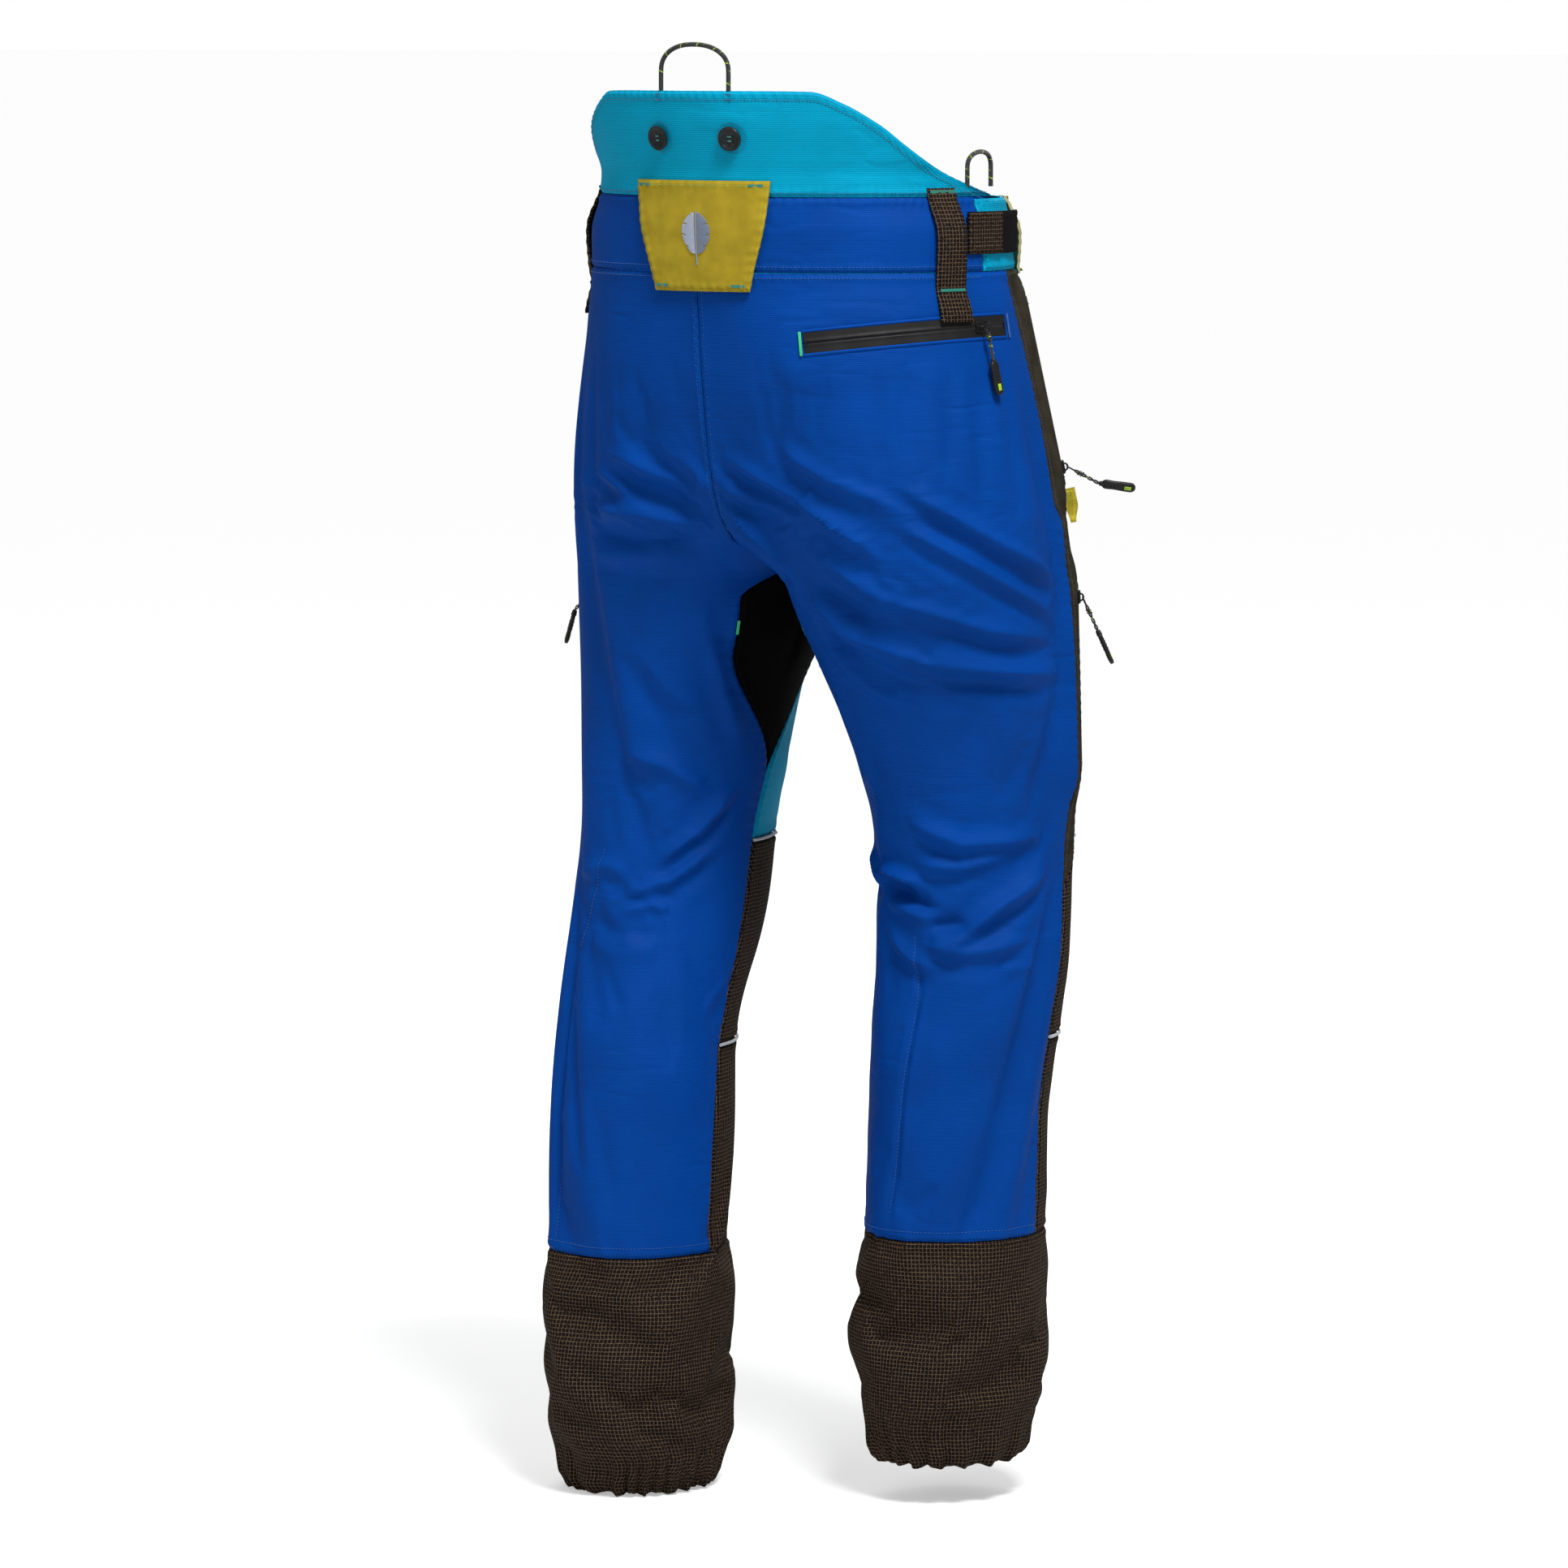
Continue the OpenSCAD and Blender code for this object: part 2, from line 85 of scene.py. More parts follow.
STATIONS = np.array([
    [0, 115, 14, 59, 66], [26, 115, 14, 62, 69], [60, 117, 15, 70, 76], [100, 118, 16, 74, 80],
    [160, 120, 13, 74, 80], [200, 121, 11, 71, 77], [300, 124, 3, 69, 78], [368, 127, -6, 71, 80],
    [448, 129, -22, 75, 81], [536, 129, -31, 75, 85], [595, 126, -34, 82, 93], [661, 120, -32, 92, 105],
    [720, 112, -27, 102, 118], [760, 108.5, -23, 105, 127], [828, 87, -14, 121, 139], [900, 60, -7, 139, 145],
    [960, 30, -3, 156, 147], [1008, 8, 2, 171, 145], [1040, 2, 4, 177, 143], [1068, 0, 3, 170, 143],
    [1085, 0, 3, 169, 143], [1100, 0, 2, 174, 146], [1130, 0, 1, 182, 152], [1170, 0, 2, 183, 154]], float)


def smooth(t):
    t = np.clip(t, 0, 1)
    return t * t * (3 - 2 * t)


def bell(x):
    return np.exp(-np.square(x))


def monotone(x, xp, yp):
    """Smooth curve through points that never overshoots them."""
    gap = np.diff(xp)
    rise = np.diff(yp) / gap
    slope = np.zeros_like(yp)
    slope[0], slope[-1] = rise[0], rise[-1]
    for i in range(1, len(xp) - 1):
        if rise[i - 1] * rise[i] > 0:
            w1, w2 = 2 * gap[i] + gap[i - 1], gap[i] + 2 * gap[i - 1]
            slope[i] = (w1 + w2) / (w1 / rise[i - 1] + w2 / rise[i])
    x = np.clip(x, xp[0], xp[-1])
    i = np.clip(np.searchsorted(xp, x) - 1, 0, len(xp) - 2)
    t = (x - xp[i]) / gap[i]
    return ((2 * t**3 - 3 * t**2 + 1) * yp[i] + (t**3 - 2 * t**2 + t) * gap[i] * slope[i]
            + (3 * t**2 - 2 * t**3) * yp[i + 1] + (t**3 - t**2) * gap[i] * slope[i + 1])


def stance(side, h):
    return side * STRIDE / 2 * np.maximum(0, 1 - np.square(np.asarray(h, float) / CROTCH))


def raised(side, h):
    return (LIFT if side == RIGHT else 0) * np.maximum(0, 1 - np.asarray(h, float) / CROTCH)


def body(side, turn, h):
    """Outer face of the plain garment, and the angle round the leg in degrees."""
    turn, h = np.broadcast_arrays(np.asarray(turn, float), np.asarray(h, float))
    half, fore, rx, ry = [monotone(h, STATIONS[:, 0], STATIONS[:, c]) for c in range(1, 5)]
    rx, ry = rx + CLOTH, ry + CLOTH
    # above the crotch a leg's outline stops at the centre line; near it only the inner side gives way
    stop = np.where(h <= CROTCH, math.pi, np.arccos(np.clip(-half / rx, -1, 1)))
    power = 1 + 5 * (1 - smooth((h - CROTCH) / 60))
    a = np.sign(turn) * (math.pi * np.abs(turn) - (math.pi - stop) * np.abs(turn) ** power)
    x, y = half + rx * np.cos(a), fore + ry * np.sin(a)
    # the seat's cloth spans the hollow between the legs
    span = monotone(h, np.array([760., 765, 770, 778, 792, 828, 900]), np.array([0, 0.05, 0.2, 0.5, 0.78, 0.95, 1.0]))
    inner = (np.abs(a) > math.pi / 2) & (h > CROTCH)
    y = np.where(inner, y + span * (fore + np.sign(a) * ry - y), y)
    return np.stack([side * np.maximum(x, 0.2), y + stance(side, h), h + raised(side, h)], -1), np.degrees(a)


# The shaping seam down the back of each calf, as points of (angle round the leg, height)
CALF_SEAM = {LEFT: [(60, 206), (57, 304), (64, 438), (81, 534)], RIGHT: [(98, 218), (93, 296), (87, 406), (92, 464)]}

# Ridges and hollows in the cloth, one row each: side, points of (angle round the leg, height), how far it
# stands out, half width. A minus makes a hollow.
FOLDS = [
    (LEFT, [(74, 862), (112, 838), (136, 815)], 4.5, 9), (LEFT, [(90, 876), (118, 850), (134, 828)], 3, 8),
    (LEFT, [(64, 812), (100, 809), (138, 800)], 5.5, 9), (LEFT, [(66, 850), (96, 824)], 3, 7),
    (LEFT, [(60, 790), (110, 790), (140, 786)], -3, 9), (LEFT, [(52, 838), (80, 822)], 2.5, 8),
    (LEFT, [(84, 616), (118, 600), (149, 572)], 3.5, 9), (LEFT, [(161, 584), (141, 548), (112, 512)], 5, 8),
    (LEFT, [(92, 490), (126, 506), (156, 538)], 4.5, 8), (LEFT, [(95, 478), (117, 486), (130, 482)], 3, 6),
    (LEFT, [(70, 470), (100, 462), (128, 466)], -3, 9), (LEFT, [(46, 505), (84, 515), (104, 508)], 2.5, 8),
    (LEFT, [(128, 718), (142, 660), (158, 612)], 2.5, 8), (LEFT, [(100, 690), (132, 640)], 2, 10),
    (RIGHT, [(136, 838), (112, 824), (84, 806)], 4, 9), (RIGHT, [(134, 822), (124, 792), (117, 762)], 4, 8),
    (RIGHT, [(124, 864), (92, 828), (64, 776)], 4.5, 9), (RIGHT, [(96, 872), (76, 846), (40, 806)], 3, 9),
    (RIGHT, [(59, 850), (24, 796), (-18, 748)], 4.5, 9), (RIGHT, [(66, 822), (30, 772), (-14, 716)], 3.5, 8),
    (RIGHT, [(119, 764), (94, 722), (63, 697), (20, 684), (-16, 678)], 5, 9),
    (RIGHT, [(112, 740), (86, 704), (49, 668)], 3.5, 8), (RIGHT, [(118, 720), (96, 676), (70, 648)], 2.5, 8),
    (RIGHT, [(104, 792), (74, 752), (34, 722), (-10, 706)], 4, 9), (RIGHT, [(108, 762), (78, 728)], -3.5, 8),
    (RIGHT, [(124, 680), (118, 620), (116, 572)], 2.5, 8),
    (RIGHT, [(96, 560), (60, 538), (-3, 543)], 4, 8), (RIGHT, [(128, 513), (108, 510), (84, 502)], 6, 6),
    (RIGHT, [(120, 497), (100, 492), (72, 480)], -4.5, 6), (RIGHT, [(70, 450), (40, 484), (2, 516)], 5, 8),
    (RIGHT, [(90, 452), (60, 446), (8, 457)], 4, 8), (RIGHT, [(94, 520), (62, 518), (26, 530)], 3, 7),
    (RIGHT, [(84, 468), (56, 470)], -3.5, 7), (RIGHT, [(118, 462), (96, 440), (70, 428)], 3, 8),
    (RIGHT, [(40, 430), (10, 436)], 2, 8), (RIGHT, [(150, 530), (136, 506), (124, 496)], 4, 7),
    (RIGHT, CALF_SEAM[RIGHT][::-1], -1.3, 3), (LEFT, CALF_SEAM[LEFT][::-1], -1.3, 3),
]
# Broad swellings and hollows: side, angle, height, half angle, half height, amount
SWELLS = [
    (LEFT, 40, 660, 42, 90, -5), (LEFT, -142, 660, 40, 70, -11), (LEFT, -142, 385, 45, 60, -8),
    (LEFT, 38, 780, 34, 60, -3), (RIGHT, -38, 655, 40, 80, 4), (RIGHT, 142, 665, 34, 60, 3.5),
    (LEFT, 38, 905, 30, 50, -5), (RIGHT, -40, 905, 26, 45, -4), (LEFT, 90, 505, 40, 26, -4),
    (RIGHT, 110, 500, 42, 22, -5), (LEFT, 40, 210, 60, 45, -3), (RIGHT, 90, 350, 60, 60, 2),
    (LEFT, 95, 350, 60, 60, 2), (LEFT, -90, 470, 50, 60, 4), (RIGHT, -90, 482, 50, 60, 4),
]


def waves(u, v, seed, count=6):
    """Soft seeded ripple of about unit size."""
    rng = np.random.default_rng(seed)
    total = 0
    for _ in range(count):
        k, phase = rng.normal(0, 1, 2), rng.uniform(0, 2 * math.pi)
        total = total + np.sin(k[0] * u + k[1] * v + phase)
    return total / math.sqrt(count / 2)


def folds(side, angle, h):
    """How far the cloth stands out of the plain garment, in millimetres."""
    reach = (monotone(h, STATIONS[:, 0], STATIONS[:, 3]) + monotone(h, STATIONS[:, 0], STATIONS[:, 4])) / 2
    out = np.zeros_like(h)
    for which, points, amount, width in FOLDS:
        if which != side:
            continue
        low, high = min(p[1] for p in points) - 45, max(p[1] for p in points) + 45
        near = (h > low) & (h < high)
        u, v, r = np.radians(angle[near]) * reach[near], h[near], reach[near]
        best, place, side_on = np.full(u.shape, 1e9), np.zeros(u.shape), np.zeros(u.shape)
        for i, (p, q) in enumerate(zip(points, points[1:])):
            p = np.stack([np.radians(p[0]) * r, np.full(r.shape, float(p[1]))])
            q = np.stack([np.radians(q[0]) * r, np.full(r.shape, float(q[1]))])
            d, e = q - p, np.stack([u, v]) - p
            t = np.clip((e * d).sum(0) / (d * d).sum(0), 0, 1)
            gap = np.hypot(*(e - t * d))
            closer = gap < best
            best = np.where(closer, gap, best)
            place = np.where(closer, (i + t) / (len(points) - 1), place)
            offset = (d[0] * e[1] - d[1] * e[0]) / np.hypot(*d) * np.sign(d[0] + 1e-9)
            side_on = np.where(closer, offset, side_on)
        s, beyond = side_on / width, np.sqrt(np.maximum(best**2 - side_on**2, 0)) / width
        taper = smooth(place / 0.3) * smooth((1 - place) / 0.3) * 0.88 + 0.12
        hollow = 0.55 * bell((s + 1.5) / 1.1) + 0.18 * bell((s - 2) / 1.2)
        ridge = np.exp(-np.abs(best / width) ** 1.6)
        out[near] += 1.75 * amount * taper * (ridge - hollow * bell(beyond))
    for which, a, z, half_a, half_z, amount in SWELLS:
        if which == side:
            turn = (angle - a + 180) % 360 - 180
            out += amount * bell(turn / half_a) * bell((h - z) / half_z)
    u = np.radians(angle) * reach
    calm = smooth((h - 205) / 40) * smooth((1000 - h) / 60)
    out += calm * 0.7 * waves(u / 34, h / 52, 5 + side) + calm * 0.28 * waves(u / 15, h / 19, 9 + side)
    # puckers where the elastic gathers the hem, and slack in the cuffs
    gather = np.exp(-np.maximum(h - 8, 0) / 30)
    curl = angle / 17.3 + 0.7 * waves(angle / 24, h / 300, 21 + side)
    out += gather * (2.6 * np.sin(2 * math.pi * curl) + 1.2 * np.sin(4.7 * math.pi * curl + 1))
    slack = smooth((h - 12) / 40) * smooth((198 - h) / 50)
    out += slack * (2.4 * waves(u / 27, h / 30, 31 + side, 5) + 0.9 * waves(u / 11, h / 14, 37 + side))
    out += -1.0 * smooth((24 - h) / 20) + 2.0 * bell((h - 45) / 26)
    return out


class Sheet:
    """One half of the garment as a fine grid of points, read at any turn and height."""

    def __init__(self, side, points, heights, turns):
        self.side, self.heights, self.turns = side, heights, turns
        self.set(points)

    def set(self, points):
        self.points = points
        across, along = np.gradient(points, axis=0), np.gradient(points, axis=1)
        n = np.cross(across, along) * self.side
        self.normals = n / (np.linalg.norm(n, axis=-1, keepdims=True) + 1e-9)

    def _read(self, grid, turn, h):
        fi = (np.clip(turn, -1, 1) + 1) / 2 * (len(self.turns) - 1)
        fj = np.interp(h, self.heights, np.arange(len(self.heights)))
        n, m = grid.shape[:2]
        i, j = np.clip(np.floor(fi).astype(int), 0, n - 2), np.clip(np.floor(fj).astype(int), 0, m - 2)
        s, t = fi - i, fj - j

        def weights(t):
            return (-0.5 * t + t**2 - 0.5 * t**3, 1 - 2.5 * t**2 + 1.5 * t**3,
                    0.5 * t + 2 * t**2 - 1.5 * t**3, -0.5 * t**2 + 0.5 * t**3)
        total = 0
        for a, wa in enumerate(weights(s)):
            for b, wb in enumerate(weights(t)):
                corner = grid[np.clip(i + a - 1, 0, n - 1), np.clip(j + b - 1, 0, m - 1)]
                total = total + (wa * wb)[..., None] * corner
        return total

    def at(self, turn, h):
        turn, h = np.broadcast_arrays(np.asarray(turn, float), np.asarray(h, float))
        n = self._read(self.normals, turn, h)
        return self._read(self.points, turn, h), n / (np.linalg.norm(n, axis=-1, keepdims=True) + 1e-9)


HEIGHTS = np.concatenate([np.arange(0, 748, 3.0), np.arange(748, 804, 1.4), np.arange(804, 1172, 3.0)])
TURNS = np.linspace(-1, 1, 241)


def edge_fade(end):
    """1 at the first (0) or last (-1) column of points of a half, falling to 0 a little way in."""
    fade = smooth((np.abs(TURNS) - 0.86) / 0.14) * (TURNS > 0 if end else TURNS < 0)
    return fade[:, None, None]


def close_seams(points):
    """Makes the two halves meet at the centre seams, and each leg's edges meet at the inseam."""
    mirror = np.array([-1.0, 1, 1])
    for end in (0, -1):
        left, right = points[LEFT][end], points[RIGHT][end] * mirror
        middle = (left + right) / 2
        middle[:, 0] = 0.3
        above = smooth((HEIGHTS - CROTCH) / 12)[:, None]
        points[LEFT] += edge_fade(end) * ((middle - left) * above)[None]
        points[RIGHT] += edge_fade(end) * ((middle - right) * above)[None] * mirror
    for side in (LEFT, RIGHT):
        p = points[side]
        middle, below = (p[0] + p[-1]) / 2, (HEIGHTS < CROTCH + 0.5).astype(float)[:, None]
        for end in (0, -1):
            p += edge_fade(end) * ((middle - p[end]) * below)[None]
    return points


def rot(x=0, y=0, z=0):
    return (Matrix.Rotation(math.radians(z), 4, "Z") @ Matrix.Rotation(math.radians(y), 4, "Y")
            @ Matrix.Rotation(math.radians(x), 4, "X"))


def move(x, y, z):
    return Matrix.Translation((x, y, z))


def side_frame(side, low, lean, turn):
    return (move(side * low[0], low[1], low[2]) @ rot(0, -side * lean, side * turn) @ rot(0, -90, side * 90))


def hip_frame(side):
    return side_frame(side, (188, -98.9, 836), 12, -34)


def thigh_frame(side):
    where = ((214.2, -26, 600), -1.3, 0) if side == LEFT else ((202.6, -90.8, 600), 1.5, -30)
    return move(0, float(stance(side, 672)), float(raised(side, 672))) @ side_frame(side, *where)


def carried(points, matrix):
    """Points moved by a 4 x 4 matrix."""
    return np.concatenate([points, np.ones(points.shape[:-1] + (1,))], -1) @ matrix[:3].T


class FlatZip:
    """Maps between the garment and a straight zip: x along it, z across it, out from its inner face."""

    def __init__(self, matrix, length):
        self.forward, self.back, self.length = np.array(matrix), np.array(matrix.inverted()), length

    def lay(self, x, z, out):
        return carried(np.stack(np.broadcast_arrays(x, -np.asarray(out, float), z), -1), self.forward)

    def local(self, p):
        q = carried(p, self.back)
        return q[..., 0], q[..., 2], -q[..., 1]


class RearZip:
    """The same for the rear pocket's zip, which follows an arc; x runs outwards from the pocket's inner end."""

    def __init__(self):
        self.matrix, self.radius, self.start = move(-38, -6, 946) @ rot(0, 7, 0), 152.6, math.radians(112)
        self.forward, self.back = np.array(self.matrix), np.array(self.matrix.inverted())
        self.length = math.radians(69) * self.radius

    def lay(self, x, z, out):
        x, z, out = np.broadcast_arrays(np.asarray(x, float), np.asarray(z, float), np.asarray(out, float))
        a, r = self.start + x / self.radius, self.radius + out - z * 0.05
        return carried(np.stack([r * np.cos(a), r * np.sin(a), z], -1), self.forward)

    def local(self, p):
        q = carried(p, self.back)
        a = np.arctan2(q[..., 1], q[..., 0])
        a = np.where(a < 0, a + 2 * math.pi, a)
        out = np.hypot(q[..., 0], q[..., 1]) - self.radius + q[..., 2] * 0.05
        return (a - self.start) * self.radius, q[..., 2], out


ZIPS = {side: {"hip": FlatZip(hip_frame(side), 148), "thigh": FlatZip(thigh_frame(side), 145)}
        for side in (LEFT, RIGHT)}
ZIPS[RIGHT]["rear"] = RearZip()


def meet_zips(side, points):
    """Lifts or presses the cloth so that it lies flush round each pocket zip."""
    for zipper in ZIPS[side].values():
        x, z, out = zipper.local(points)
        half = zipper.length / 2
        gap = np.hypot(np.maximum(np.abs(x - half) - half, 0), np.maximum(np.abs(z) - 12, 0))
        weight = smooth(1 - gap / 34) * (out > -30) * (out < 25)
        target = 0.9 - 0.75 * smooth((12 - np.abs(z)) / 3) * (gap < 1)
        move_to = zipper.lay(x, z, out + weight * (target - out))
        points = np.where((weight > 0)[..., None], move_to, points)
    return points


def side_seam(h, side=RIGHT):
    """Turn of the seam between the back panel and the side panel. The left's swings back round its pocket."""
    pocket = 0.175 * smooth((h - 560) / 40) * smooth((790 - h) / 40) if side == LEFT else 0
    return np.where(h > 948, -0.15, -0.05 - 0.1 * np.clip((h - 480) / 470, 0, 1)) - 0.003 + pocket


def relax(verts, faces, pin, loose):
    """Simulates cloth that is held by pins and made larger where it is loose; returns where its points end."""
    mesh = bpy.data.meshes.new("settling")
    mesh.from_pydata((verts * MM).tolist(), [], faces.tolist())
    obj = bpy.data.objects.new("settling", mesh)
    bpy.context.scene.collection.objects.link(obj)
    for group_name, values in (("pin", pin), ("loose", loose)):
        group = obj.vertex_groups.new(name=group_name)
        for k, value in enumerate(values):
            group.add([k], float(value), "REPLACE")
    cloth = obj.modifiers.new("cloth", "CLOTH")
    c = cloth.settings
    c.quality, c.mass, c.air_damping = 5, 0.12, 3.0
    c.tension_stiffness = c.compression_stiffness = 22
    c.shear_stiffness, c.bending_stiffness = 8, 0.55
    c.tension_damping = c.compression_damping = c.shear_damping = 12
    c.vertex_group_mass, c.pin_stiffness = "pin", 1.0
    c.shrink_min, c.shrink_max, c.vertex_group_shrink = 0.0, -0.07, "loose"
    c.effector_weights.gravity = 0.35
    cloth.collision_settings.use_collision = False
    cloth.point_cache.frame_end = 40
    scene = bpy.context.scene
    for f in range(1, 31):
        scene.frame_set(f)
    moved = np.zeros(verts.size)
    obj.evaluated_get(bpy.context.evaluated_depsgraph_get()).data.vertices.foreach_get("co", moved)
    scene.frame_set(1)
    bpy.data.objects.remove(obj)
    return moved.reshape(-1, 3) / MM


def settle(points):
    """Lets the cloth wrinkle: it is simulated as one slightly oversized garment held to its shape by soft pins,
    and how far it moved is added to the sheets."""
    turns, heights = np.linspace(-1, 1, 85), np.linspace(0, BAND, 133)
    rest = {side: Sheet(side, points[side], HEIGHTS, TURNS).at(turns[:, None], heights[None])[0] for side in points}
    count = len(turns) * len(heights)
    ids = {LEFT: np.arange(count).reshape(len(turns), -1), RIGHT: count + np.arange(count).reshape(len(turns), -1)}
    low = heights <= CROTCH
    for side in ids:
        ids[side][-1, low] = ids[side][0, low]
    for end in (0, -1):
        ids[RIGHT][end, ~low] = ids[LEFT][end, ~low]
    verts = np.zeros((2 * count, 3))
    pin, loose = np.ones(2 * count), np.zeros(2 * count)
    faces = []
    for side in (RIGHT, LEFT):
        i = ids[side]
        verts[i] = rest[side]
        t, h = np.meshgrid(turns, heights, indexing="ij")
        free = smooth((h - 14) / 50) * smooth((996 - h) / 90)
        seams = 0.30 * bell((np.abs(t) - 1) / 0.03) * smooth((h - 700) / 60) + 0.22 * bell((t - side_seam(h)) / 0.02)
        pin[i] = np.clip(1 - free * (0.90 - seams), 0.02, 1)
        slack = (bell((h - 470) / 75) + 0.8 * bell((h - 780) / 50) + 0.5 * bell((h - 650) / 70)
                 + 0.9 * smooth((215 - h) / 60) + 0.25 * smooth((860 - h) / 60))
        loose[i] = np.clip(slack, 0, 1) * np.where(t > -0.25, 1, 0.75)
        quads = np.stack([i[:-1, :-1], i[1:, :-1], i[1:, 1:], i[:-1, 1:]], -1).reshape(-1, 4)
        faces.append(quads[:, ::side])
    used, new = np.unique(np.concatenate(faces), return_inverse=True)
    shift = np.zeros((2 * count, 3))
    shift[used] = relax(verts[used], new.reshape(-1, 4), pin[used], loose[used]) - verts[used]
    for side in ids:    # keep the wrinkles, drop any drift of the whole leg
        part = shift[ids[side]]
        broad = part.copy()
        for _ in range(60):
            broad[1:-1] = (broad[:-2] + 2 * broad[1:-1] + broad[2:]) / 4
            broad[:, 1:-1] = (broad[:, :-2] + 2 * broad[:, 1:-1] + broad[:, 2:]) / 4
        shift[ids[side]] = part - 0.85 * broad
    far = np.linalg.norm(shift, axis=-1, keepdims=True)
    shift *= 7 / np.maximum(far, 7)
    print("settled cloth, mean and largest shift:", round(far.mean(), 2), round(far.max(), 2))
    for side in points:
        reader = Sheet(side, shift[ids[side]], heights, turns)
        t, h = np.meshgrid(TURNS, HEIGHTS, indexing="ij")
        fade = smooth((BAND - 6 - h) / 20)[..., None]
        points[side] = points[side] + fade * reader._read(reader.points, t, np.clip(h, 0, BAND))
    return points


def build_sheets():
    points = {}
    for side in (LEFT, RIGHT):
        t, h = np.meshgrid(TURNS, HEIGHTS, indexing="ij")
        p, angle = body(side, t, h)
        plain = Sheet(side, p, HEIGHTS, TURNS)
        points[side] = meet_zips(side, p + plain.normals * folds(side, angle, h)[..., None])
    points = close_seams(points)
    points = settle(points)
    points = close_seams({side: meet_zips(side, points[side]) for side in points})
    return {side: Sheet(side, points[side], HEIGHTS, TURNS) for side in points}


SHEET = build_sheets()


def around(angle, h):
    """A place at the waist. angle runs from the centre back towards the wearer's right, to 180 in front."""
    angle, h = np.broadcast_arrays(np.asarray(angle, float), np.asarray(h, float))
    turn = 1 - np.abs(angle) / 90
    pl, nl = SHEET[LEFT].at(turn, h)
    pr, nr = SHEET[RIGHT].at(turn, h)
    pick = (angle > 0)[..., None]
    n = np.where(pick, nr, nl)
    n[..., 0] *= smooth(np.minimum(np.abs(angle), 180 - np.abs(angle)) / 6)
    return np.where(pick, pr, pl), n / np.linalg.norm(n, axis=-1, keepdims=True)


# ---- Materials ----------------------------------------------------------------------------------

class Nodes:
    """Short hand for building a node material."""

    def __init__(self, name, color, rough=0.8, metal=0.0, sheen=0.0, spec=0.5):
        self.mat = bpy.data.materials.new(name)
        self.mat.use_nodes = True
        self.tree = self.mat.node_tree
        self.bsdf = self.tree.nodes["Principled BSDF"]
        self.set(self.bsdf, "Base Color", (*color, 1))
        self.mat.diffuse_color = (*color, 1)
        for key, value in (("Roughness", rough), ("Metallic", metal), ("Sheen Weight", sheen),
                           ("Specular IOR Level", spec)):
            self.set(self.bsdf, key, value)

    def set(self, node, key, value):
        if isinstance(value, bpy.types.NodeSocket):
            self.tree.links.new(value, node.inputs[key])
        else:
            node.inputs[key].default_value = value

    def new(self, kind, out=0, attributes=(), **inputs):
        node = self.tree.nodes.new(kind)
        for key, value in attributes:
            setattr(node, key, value)
        for key, value in inputs.items():
            key = int(key[1:]) if key[0] == "_" else key.replace("_", " ")
            self.set(node, key, value)
        return node.outputs[out]

    def math(self, operation, a, b=0.0, c=0.0):
        return self.new("ShaderNodeMath", attributes=[("operation", operation)], _0=a, _1=b, _2=c)

    def uv(self):
        """The two fabric coordinates, in millimetres."""
        split = self.tree.nodes.new("ShaderNodeSeparateXYZ")
        self.tree.links.new(self.new("ShaderNodeUVMap", attributes=[("uv_map", "cloth")]), split.inputs[0])
        return self.math("MULTIPLY", split.outputs[0], 1000), self.math("MULTIPLY", split.outputs[1], 1000)

    def vector(self, x, y, z=0.0):
        return self.new("ShaderNodeCombineXYZ", X=x, Y=y, Z=z)

    def attribute(self, name):
        return self.new("ShaderNodeAttribute", out=2, attributes=[("attribute_name", name)])

    def noise(self, vector, scale, detail=3.0):
        return self.new("ShaderNodeTexNoise", Vector=vector, Scale=scale, Detail=detail)

    def ramp(self, value, low, high):
        return self.new("ShaderNodeMapRange", attributes=[("interpolation_type", "SMOOTHSTEP")],
                        Value=value, From_Min=low, From_Max=high)

    def mix(self, factor, a, b):
        node = self.tree.nodes.new("ShaderNodeMix")
        node.data_type = "RGBA"
        self.set(node, 0, factor)
        for index, value in ((6, a), (7, b)):
            self.set(node, index, value if isinstance(value, bpy.types.NodeSocket) else (*value, 1))
        return node.outputs[2]

    def bump(self, height, distance, strength=1.0, normal=None):
        node = self.tree.nodes.new("ShaderNodeBump")
        self.set(node, "Height", height)
        self.set(node, "Distance", distance * MM)
        self.set(node, "Strength", strength)
        if normal is not None:
            self.set(node, "Normal", normal)
        return node.outputs[0]

    def finish(self, color=None, normal=None, rough=None):
        for key, value in (("Base Color", color), ("Normal", normal), ("Roughness", rough)):
            if value is not None:
                self.set(self.bsdf, key, value)
        return self.mat


def tint(color, amount):
    return tuple(min(1.0, c * amount) for c in color)


def stitched(m, color, thread):
    """Adds a line of stitches a little inside each sewn edge, and returns the colour and their height."""
    edge, along = m.attribute("edge"), m.attribute("along")
    line = m.math("SUBTRACT", 1.0, m.ramp(m.math("ABSOLUTE", m.math("SUBTRACT", edge, 2.6)), 0.25, 0.5))
    place_in_stitch = m.math("SUBTRACT", m.math("FRACT", m.math("DIVIDE", along, 3.0)), 0.5)
    dash = m.ramp(m.math("ABSOLUTE", place_in_stitch), 0.42, 0.3)
    stitch = m.math("MULTIPLY", line, dash)
    return m.mix(m.math("MULTIPLY", stitch, 0.75), color, thread), stitch


